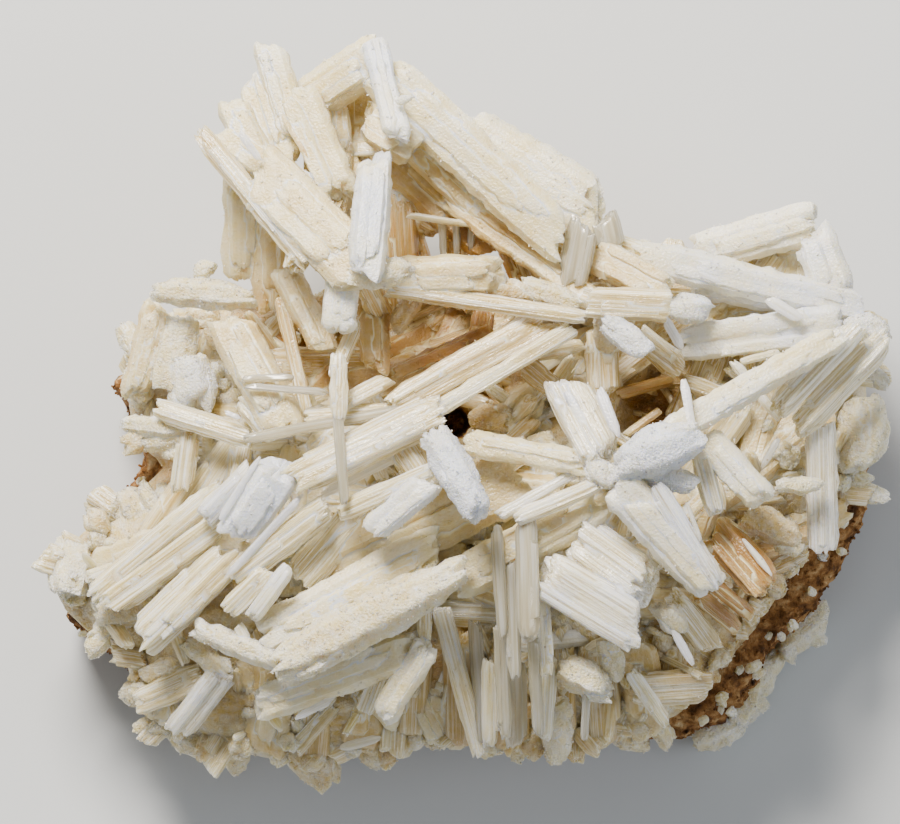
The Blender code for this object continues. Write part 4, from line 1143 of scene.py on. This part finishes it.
def cerussite():
    """Lead carbonate: white to cream, translucent, adamantine, fluted along its length."""
    made, tree, shader = new_material("cerussite")
    tone, sugar, ribs, grain = [
        add(tree, "ShaderNodeAttribute", attribute_name=name).outputs[kind]
        for name, kind in (("tone", "Fac"), ("sugar", "Fac"), ("ribs", "Fac"), ("grain", "Vector"))
    ]
    here = add(tree, "ShaderNodeTexCoord").outputs["Object"]
    total, colour = toned(tree, tone, here)
    # Painted white highlights and frost show less on crystals of deeper tone, and lines less on smooth
    # habits.
    fresh = add(tree, "ShaderNodeMapRange", {0: total, 1: 0.42, 2: 0.8, 3: 1.0, 4: 0.12}).outputs[0]
    white = add(tree, "ShaderNodeMath", {0: ribs, 1: fresh}, operation="MULTIPLY").outputs[0]
    # Clear tan streaks a third of a millimetre wide run along the crystal, and between
    # them finer lines, painted highlights in white and painted shade in tan.
    streaks = drawn_out(tree, grain, 3.0, 0.07, 2.0)
    colour = laid(tree, colour, STREAK_TAN, streaks, (0.5, 0.64), (0.0, 0.5), ribs)
    lines = drawn_out(tree, grain, 5.5, 0.09, 3.0)
    colour = laid(tree, colour, LINE_HIGHLIGHT_WHITE, lines, (0.5, 0.62), (0.0, 0.75), white)
    colour = laid(tree, colour, LINE_SHADE_TAN, lines, (0.49, 0.36), (0.0, 0.6), ribs)
    # Sharp outer edges get a painted white highlight, and grooves a painted tan shade.
    bend = add(tree, "ShaderNodeNewGeometry").outputs["Pointiness"]
    colour = laid(tree, colour, EDGE_HIGHLIGHT_WHITE, bend, (0.51, 0.6), (0.0, 0.25), fresh)
    colour = laid(tree, colour, GROOVE_SHADE_TAN, bend, (0.49, 0.4), (0.0, 0.35))
    # Frost lies in patches half a millimetre wide, most of all on sugary skins.
    frost = add(tree, "ShaderNodeTexNoise", {0: here, "Scale": 1.3 / MM, "Detail": 3.0}).outputs["Fac"]
    held = add(tree, "ShaderNodeMapRange", {0: sugar, 1: 0.0, 2: 1.0, 3: 0.15, 4: 0.5}).outputs[0]
    held = add(tree, "ShaderNodeMath", {0: held, 1: fresh}, operation="MULTIPLY").outputs[0]
    colour = laid(tree, colour, FROST_WHITE, frost, (0.35, 0.7), (0.0, 1.0), held)
    # Specks of iron oxide a tenth of a millimetre across gather in places.
    dots = add(tree, "ShaderNodeTexVoronoi", {0: here, "Scale": 0.65 / MM}).outputs["Distance"]
    dusty = add(tree, "ShaderNodeTexNoise", {0: here, "Scale": 0.13 / MM}).outputs["Fac"]
    dusty = add(tree, "ShaderNodeMapRange", {0: dusty, 1: 0.52, 2: 0.6, 3: 0.0, 4: 1.0}).outputs[0]
    colour = laid(tree, colour, RUST_DUST, dots, (0.05, 0.09), (0.6, 0.0), dusty)
    # A sugary skin has a fine tooth, and a ribbed one has flutes over it.
    rough = add(tree, "ShaderNodeTexNoise", {0: here, "Scale": 4.0 / MM, "Detail": 2.0}).outputs["Fac"]
    tooth = add(tree, "ShaderNodeMapRange", {0: sugar, 1: 0.0, 2: 1.0, 3: 0.25, 4: 1.0}).outputs[0]
    skin = add(tree, "ShaderNodeBump", {"Height": rough, "Strength": tooth, "Distance": 0.0004})
    flutes = drawn_out(tree, grain, 3.6, 0.08, 2.0)
    cut = add(tree, "ShaderNodeMapRange", {0: ribs, 1: 0.0, 2: 1.0, 3: 0.1, 4: 0.75}).outputs[0]
    fluted = {"Height": flutes, "Strength": cut, "Distance": 0.0003, "Normal": skin.outputs["Normal"]}
    # Ribbed faces are glossy and frosted ones are satin.
    gloss = add(tree, "ShaderNodeMapRange", {0: ribs, 1: 0.0, 2: 1.0, 3: 0.38, 4: 0.25}).outputs[0]
    feed(tree, shader, {
        "Base Color": colour,
        "Normal": add(tree, "ShaderNodeBump", fluted).outputs["Normal"],
        "Roughness": gloss,
        "IOR": CERUSSITE_IOR,
        "Subsurface Weight": 0.75,
        "Subsurface Radius": (1.0, 0.9, 0.58),
        "Subsurface Scale": 0.0016,
    })
    return made


CERUSSITE = cerussite()
print(CERUSSITE.name, len(CERUSSITE.node_tree.nodes), "nodes")


# %% Clear cerussite
CLEAR_STOPS = [(0.0, "#CFC6A9"), (0.5, "#DDD7C0"), (1.0, "#F0EEE4")]


def clear_cerussite():
    """Lead carbonate with little in it: glassy, half see-through, lined along its length."""
    made, tree, shader = new_material("clear cerussite")
    grain = add(tree, "ShaderNodeAttribute", attribute_name="grain").outputs["Vector"]
    lines = drawn_out(tree, grain, 3.0, 0.09, 2.0)
    spread = add(tree, "ShaderNodeMapRange", {0: lines, 1: 0.35, 2: 0.65, 3: 0.0, 4: 1.0}).outputs[0]
    bump = add(tree, "ShaderNodeBump", {"Height": lines, "Strength": 0.4, "Distance": 0.0002})
    feed(tree, shader, {
        "Base Color": add(tree, "ShaderNodeValToRGB", {"Fac": spread}, stops=CLEAR_STOPS).outputs["Color"],
        "Normal": bump.outputs["Normal"],
        "Roughness": 0.22,
        "IOR": CERUSSITE_IOR,
        "Transmission Weight": 0.55,
        "Subsurface Weight": 0.7,
        "Subsurface Radius": (1.0, 0.9, 0.75),
        "Subsurface Scale": 0.002,
    })
    return made


CLEAR_LOOK = clear_cerussite()
print(CLEAR_LOOK.name, len(CLEAR_LOOK.node_tree.nodes), "nodes")


# %% Gossan
# From the near black of fresh pits to dry ochre.
GOSSAN_STOPS = [(0.0, "#2E1B0B"), (0.28, "#66421F"), (0.5, "#946839"), (0.72, "#B58C5B"), (1.0, "#D6C198")]


def gossan():
    """Iron oxides: earthy and dull, from near black through rust to ochre."""
    made, tree, shader = new_material("gossan")
    here = add(tree, "ShaderNodeTexCoord").outputs["Object"]
    # Patches of oxide a millimetre and a half across, with crumbs half as wide.
    patches = add(tree, "ShaderNodeTexNoise", {0: here, "Scale": 0.7 / MM, "Detail": 7.0}).outputs["Fac"]
    wide = add(tree, "ShaderNodeMapRange", {0: patches, 1: 0.26, 2: 0.76, 3: 0.0, 4: 1.0}).outputs[0]
    crumbs = add(tree, "ShaderNodeTexNoise", {0: here, "Scale": 1.5 / MM, "Detail": 5.0}).outputs["Fac"]
    bump = add(tree, "ShaderNodeBump", {"Height": crumbs, "Strength": 1.0, "Distance": 0.001})
    feed(tree, shader, {
        "Base Color": add(tree, "ShaderNodeValToRGB", {"Fac": wide}, stops=GOSSAN_STOPS).outputs["Color"],
        "Normal": bump.outputs["Normal"],
        "Roughness": 0.88,
        "Specular IOR Level": 0.25,
    })
    return made


GOSSAN = gossan()
print(GOSSAN.name, len(GOSSAN.node_tree.nodes), "nodes")

# %% [markdown]
# ## The sugary crust
#
# A Geometry Nodes group scatters stubby grains over a mesh, as thickly as its
# sugar attribute says, and turns each its own way. Then it makes the grains real
# and gives the whole mesh its material.

# %% The crust group
# A grain before it is scaled to its size in millimetres: a four-sided stub.
GRAIN = {"Vertices": 4, "Radius Top": 0.45, "Radius Bottom": 0.55, "Depth": 1.2}
# How far a grain may turn about each of its axes, in radians.
GRAIN_TURN = Vector((1.1, 1.1, 3.1))
GRAIN_INPUTS = ("Grains per mm2", "Smallest mm", "Largest mm")


def crust_group(name, look):
    """Grains scattered over a mesh by its sugar attribute."""
    tree = bpy.data.node_groups.new(name, "GeometryNodeTree")
    kinds = [("Geometry", "Geometry"), *[(label, "Float") for label in GRAIN_INPUTS], ("Seed", "Int")]
    for label, kind in kinds:
        tree.interface.new_socket(label, in_out="INPUT", socket_type="NodeSocket" + kind)
    tree.interface.new_socket("Geometry", in_out="OUTPUT", socket_type="NodeSocketGeometry")
    given = add(tree, "NodeGroupInput").outputs
    bare, thickly, smallest, largest, seed = [given[label] for label, _ in kinds]
    sugar = add(tree, "GeometryNodeInputNamedAttribute", {"Name": "sugar"}, data_type="FLOAT").outputs[0]
    density = add(tree, "ShaderNodeMath", {0: sugar, 1: thickly}, operation="MULTIPLY").outputs[0]
    sown = {"Mesh": bare, "Density": density, "Seed": seed}
    spread = add(tree, "GeometryNodeDistributePointsOnFaces", sown).outputs
    # The first two inputs of a random value are for vectors, the next two for numbers.
    size = add(tree, "FunctionNodeRandomValue", {2: smallest, 3: largest, "Seed": seed}, data_type="FLOAT")
    turns = {0: -GRAIN_TURN, 1: GRAIN_TURN, "Seed": seed}
    turn = add(tree, "FunctionNodeRandomValue", turns, data_type="FLOAT_VECTOR").outputs[0]
    turns = {"Rotation": spread["Rotation"], "Rotate By": turn}
    turned = add(tree, "FunctionNodeRotateRotation", turns, rotation_space="LOCAL").outputs[0]
    grains = {
        "Points": spread["Points"],
        "Instance": add(tree, "GeometryNodeMeshCone", GRAIN).outputs["Mesh"],
        "Rotation": turned,
        "Scale": size.outputs[1],
    }
    grown = add(tree, "GeometryNodeInstanceOnPoints", grains).outputs[0]
    both = add(tree, "GeometryNodeJoinGeometry", {"Geometry": grown})
    feed(tree, both, {"Geometry": bare})
    real = add(tree, "GeometryNodeRealizeInstances", {"Geometry": both.outputs[0]}).outputs[0]
    painted = add(tree, "GeometryNodeSetMaterial", {"Geometry": real, "Material": look}).outputs[0]
    add(tree, "NodeGroupOutput", {"Geometry": painted})
    return tree


WHITE_CRUST = crust_group("white crust", CERUSSITE)
CLEAR_CRUST = crust_group("clear crust", CLEAR_LOOK)
BROWN_CRUST = crust_group("brown crust", GOSSAN)
print(WHITE_CRUST.name, len(WHITE_CRUST.nodes), "nodes")

# %% Iron stain and painted shade
# Sheet x, sheet y, radius and the tone that each adds: mostly painted shade in the hollows and shaded
# cavities, and iron stain in a few places.
STAINS_AND_SHADE = [
    (45.0, 34.0, 9.0, 0.3), (64.5, 40.0, 5.0, 0.3), (33.0, 35.5, 4.0, 0.2),
    (35.0, 11.0, 3.5, 0.12), (28.0, 32.0, 5.0, 0.16), (47.0, 25.0, 6.0, 0.14),
    (74.5, 56.0, 5.0, 0.25), (62.0, 28.0, 4.0, 0.18), (44.0, 50.0, 6.0, 0.08),
    (70.0, 66.0, 5.0, 0.12), (75.0, 41.0, 9.0, 0.12), (48.0, 72.0, 12.0, 0.06),
]
# Heights between which the stain and the painted shade fade out, in millimetres.
STAIN_AND_SHADE_FADE = (22.0, 31.0)


def stain_and_shade(x, y):
    """How far iron stain and painted shade deepen the tone of the crystals over a sheet point."""
    return sum(more * math.exp(-((x - sx) ** 2 + (y - sy) ** 2) / r**2) for sx, sy, r, more in STAINS_AND_SHADE)


def stain_and_shade_by_place(mesh):
    """Add the stain and painted shade of each place to a mesh's tone, less and less higher up."""
    for v, tone in zip(mesh.vertices, mesh.attributes["tone"].data):
        fade = (STAIN_AND_SHADE_FADE[1] - v.co.z) / (STAIN_AND_SHADE_FADE[1] - STAIN_AND_SHADE_FADE[0])
        if fade > 0 and tone.value < HOLE_SHADE_TONE:
            tone.value += min(fade, 1.0) * stain_and_shade(v.co.x + SHEET_X, SHEET_Y - v.co.y)


# %% Shading
# Edges that turn more than this, in radians, stay sharp on clean and on sugary skin.
SHARP_FROM = 0.7
SHARP_SUGAR = 1.2
# How sugary both ends of an edge are on sugary skin.
SUGARY = 0.5


def shade(mesh):
    """Smooth shading, with fewer sharp edges where the skin is sugary."""
    mesh.shade_smooth()
    kinds = []
    for angle in (SHARP_SUGAR, SHARP_FROM):
        mesh.set_sharp_from_angle(angle=angle)
        sharp = np.zeros(len(mesh.edges), dtype=bool)
        mesh.attributes["sharp_edge"].data.foreach_get("value", sharp)
        kinds.append(sharp)
    sugar = np.zeros(len(mesh.vertices), dtype=np.float32)
    mesh.attributes["sugar"].data.foreach_get("value", sugar)
    ends = np.zeros(len(mesh.edges) * 2, dtype=np.int32)
    mesh.edges.foreach_get("vertices", ends)
    soft = sugar[ends].reshape(-1, 2).min(axis=1) > SUGARY
    mesh.attributes["sharp_edge"].data.foreach_set("value", np.where(soft, *kinds))


# %% Grow the crust and hand over the pieces
# Grains to a square millimetre, and their smallest and largest size in millimetres.
NAMED_GRAINS = (1.6, 0.07, 0.2)
FILL_GRAINS = (0.8, 0.07, 0.2)
MOUND_GRAINS = (0.35, 0.07, 0.2)
CLEAR_GRAINS = (0.0, 0.1, 0.2)
FAR_SIDE_GRAINS = (1.2, 0.08, 0.2)
GOSSAN_GRAINS = (0.8, 0.12, 0.36)
# Seeds of the last three pieces. The others count up from nought.
CLEAR_SEED, FAR_SIDE_SEED, GOSSAN_SEED = 19, 20, 30


def finish_piece(name, group, grains, seed, node, slot):
    """Grow the crust on a mesh, shrink it to metres and hand it to the frame."""
    thing = bpy.data.objects.new(name, meshes[name])
    bpy.context.scene.collection.objects.link(thing)
    if slot == "cerussite":
        stain_and_shade_by_place(thing.data)
    step = thing.modifiers.new("sugary crust", "NODES")
    step.node_group = group
    values = dict(zip(GRAIN_INPUTS, grains), Seed=seed)
    for item in group.interface.items_tree:
        if item.name in values:
            step[item.identifier] = values[item.name]
    mesh = settled(thing)
    thing.modifiers.clear()
    mesh.transform(Matrix.Scale(MM, 4))
    shade(mesh)
    mesh.name = name
    thing.data = mesh
    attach(thing, "root")
    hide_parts(node)
    triangles = sum(len(p.vertices) - 2 for p in mesh.polygons)
    print(name, triangles, "triangles")
    return triangles


crusted = [(name, NAMED_GRAINS) for name in REGIONS]
crusted += [("crystal_mound", MOUND_GRAINS), ("crystals_strewn", FILL_GRAINS)]
crusted += [(name, FILL_GRAINS) for name in FILL_ROWS]
triangles = [
    finish_piece(name, WHITE_CRUST, grains, seed, "crystal_cluster", "cerussite")
    for seed, (name, grains) in enumerate(crusted)
]
for name, group, grains, seed, node, slot in (
    ("crystals_clear", CLEAR_CRUST, CLEAR_GRAINS, CLEAR_SEED, "crystal_cluster", "cerussite"),
    ("far_side_crust", WHITE_CRUST, FAR_SIDE_GRAINS, FAR_SIDE_SEED, "underside_crust", "crust_cerussite"),
    ("gossan_slab", BROWN_CRUST, GOSSAN_GRAINS, GOSSAN_SEED, "gossan_matrix", "gossan"),
):
    triangles.append(finish_piece(name, group, grains, seed, node, slot))
print("in all", sum(triangles), "triangles")

# %% [markdown]
# ## Camera, light and floor
#
# The camera looks straight down from far off, so that a millimetre of the
# specimen is ten pixels of the picture at any height.

# %% Camera
CAMERA_DISTANCE = 3.0
# Height in the specimen where the picture's scale is exact.
FOCUS_HEIGHT = 0.020
SENSOR = 36.0
# Sheet point in the middle of the picture.
VIEW_CENTRE = (45.0, 41.2)

lens = bpy.data.cameras.new("camera")
lens.sensor_width = SENSOR
lens.lens = SENSOR * CAMERA_DISTANCE / (VIEW_MM_WIDE * MM)
lens.clip_start = 0.1
lens.clip_end = 10.0
camera = bpy.data.objects.new("camera", lens)
aim = place(*VIEW_CENTRE, 0) * MM
camera.location = (aim.x, aim.y, FOCUS_HEIGHT + CAMERA_DISTANCE)
bpy.context.scene.collection.objects.link(camera)
bpy.context.scene.camera = camera
print("lens", round(lens.lens), "mm")

# %% Light
# Height at which the lamps aim, in metres.
AIM_HEIGHT = 0.015
# Name, place and diameter in metres, power in watts, and colour.
LAMPS = [
    ("key", (-0.14, 0.38, 0.40), 0.22, 10.0, "#FFF5E8"),
    ("fill", (0.42, -0.1, 0.34), 0.4, 0.95, "#E4EBF5"),
    ("low fill", (-0.3, -0.4, 0.3), 0.4, 0.25, "#EEF2FA"),
]

for name, spot, size, power, colour in LAMPS:
    lamp = bpy.data.lights.new(name, "AREA")
    lamp.shape = "DISK"
    lamp.size = size
    lamp.energy = power
    lamp.color = linear(colour)[:3]
    softbox = bpy.data.objects.new(name, lamp)
    softbox.location = spot
    heading = Vector((0, 0, AIM_HEIGHT)) - Vector(spot)
    softbox.rotation_euler = heading.to_track_quat("-Z", "Y").to_euler()
    bpy.context.scene.collection.objects.link(softbox)

world = bpy.data.worlds.new("studio")
world.use_nodes = True
sky = world.node_tree.nodes["Background"]
feed(world.node_tree, sky, {"Color": linear("#E6E4DF"), "Strength": 0.36})
bpy.context.scene.world = world

# %% Floor
bpy.ops.mesh.primitive_plane_add(size=6.0)
floor = bpy.context.active_object
floor.name = "floor"
# A matt painted board.
board, tree, shader = new_material("pale floor")
feed(tree, shader, {"Base Color": linear("#CDD2D6"), "Roughness": 0.8})
floor.data.materials.append(board)
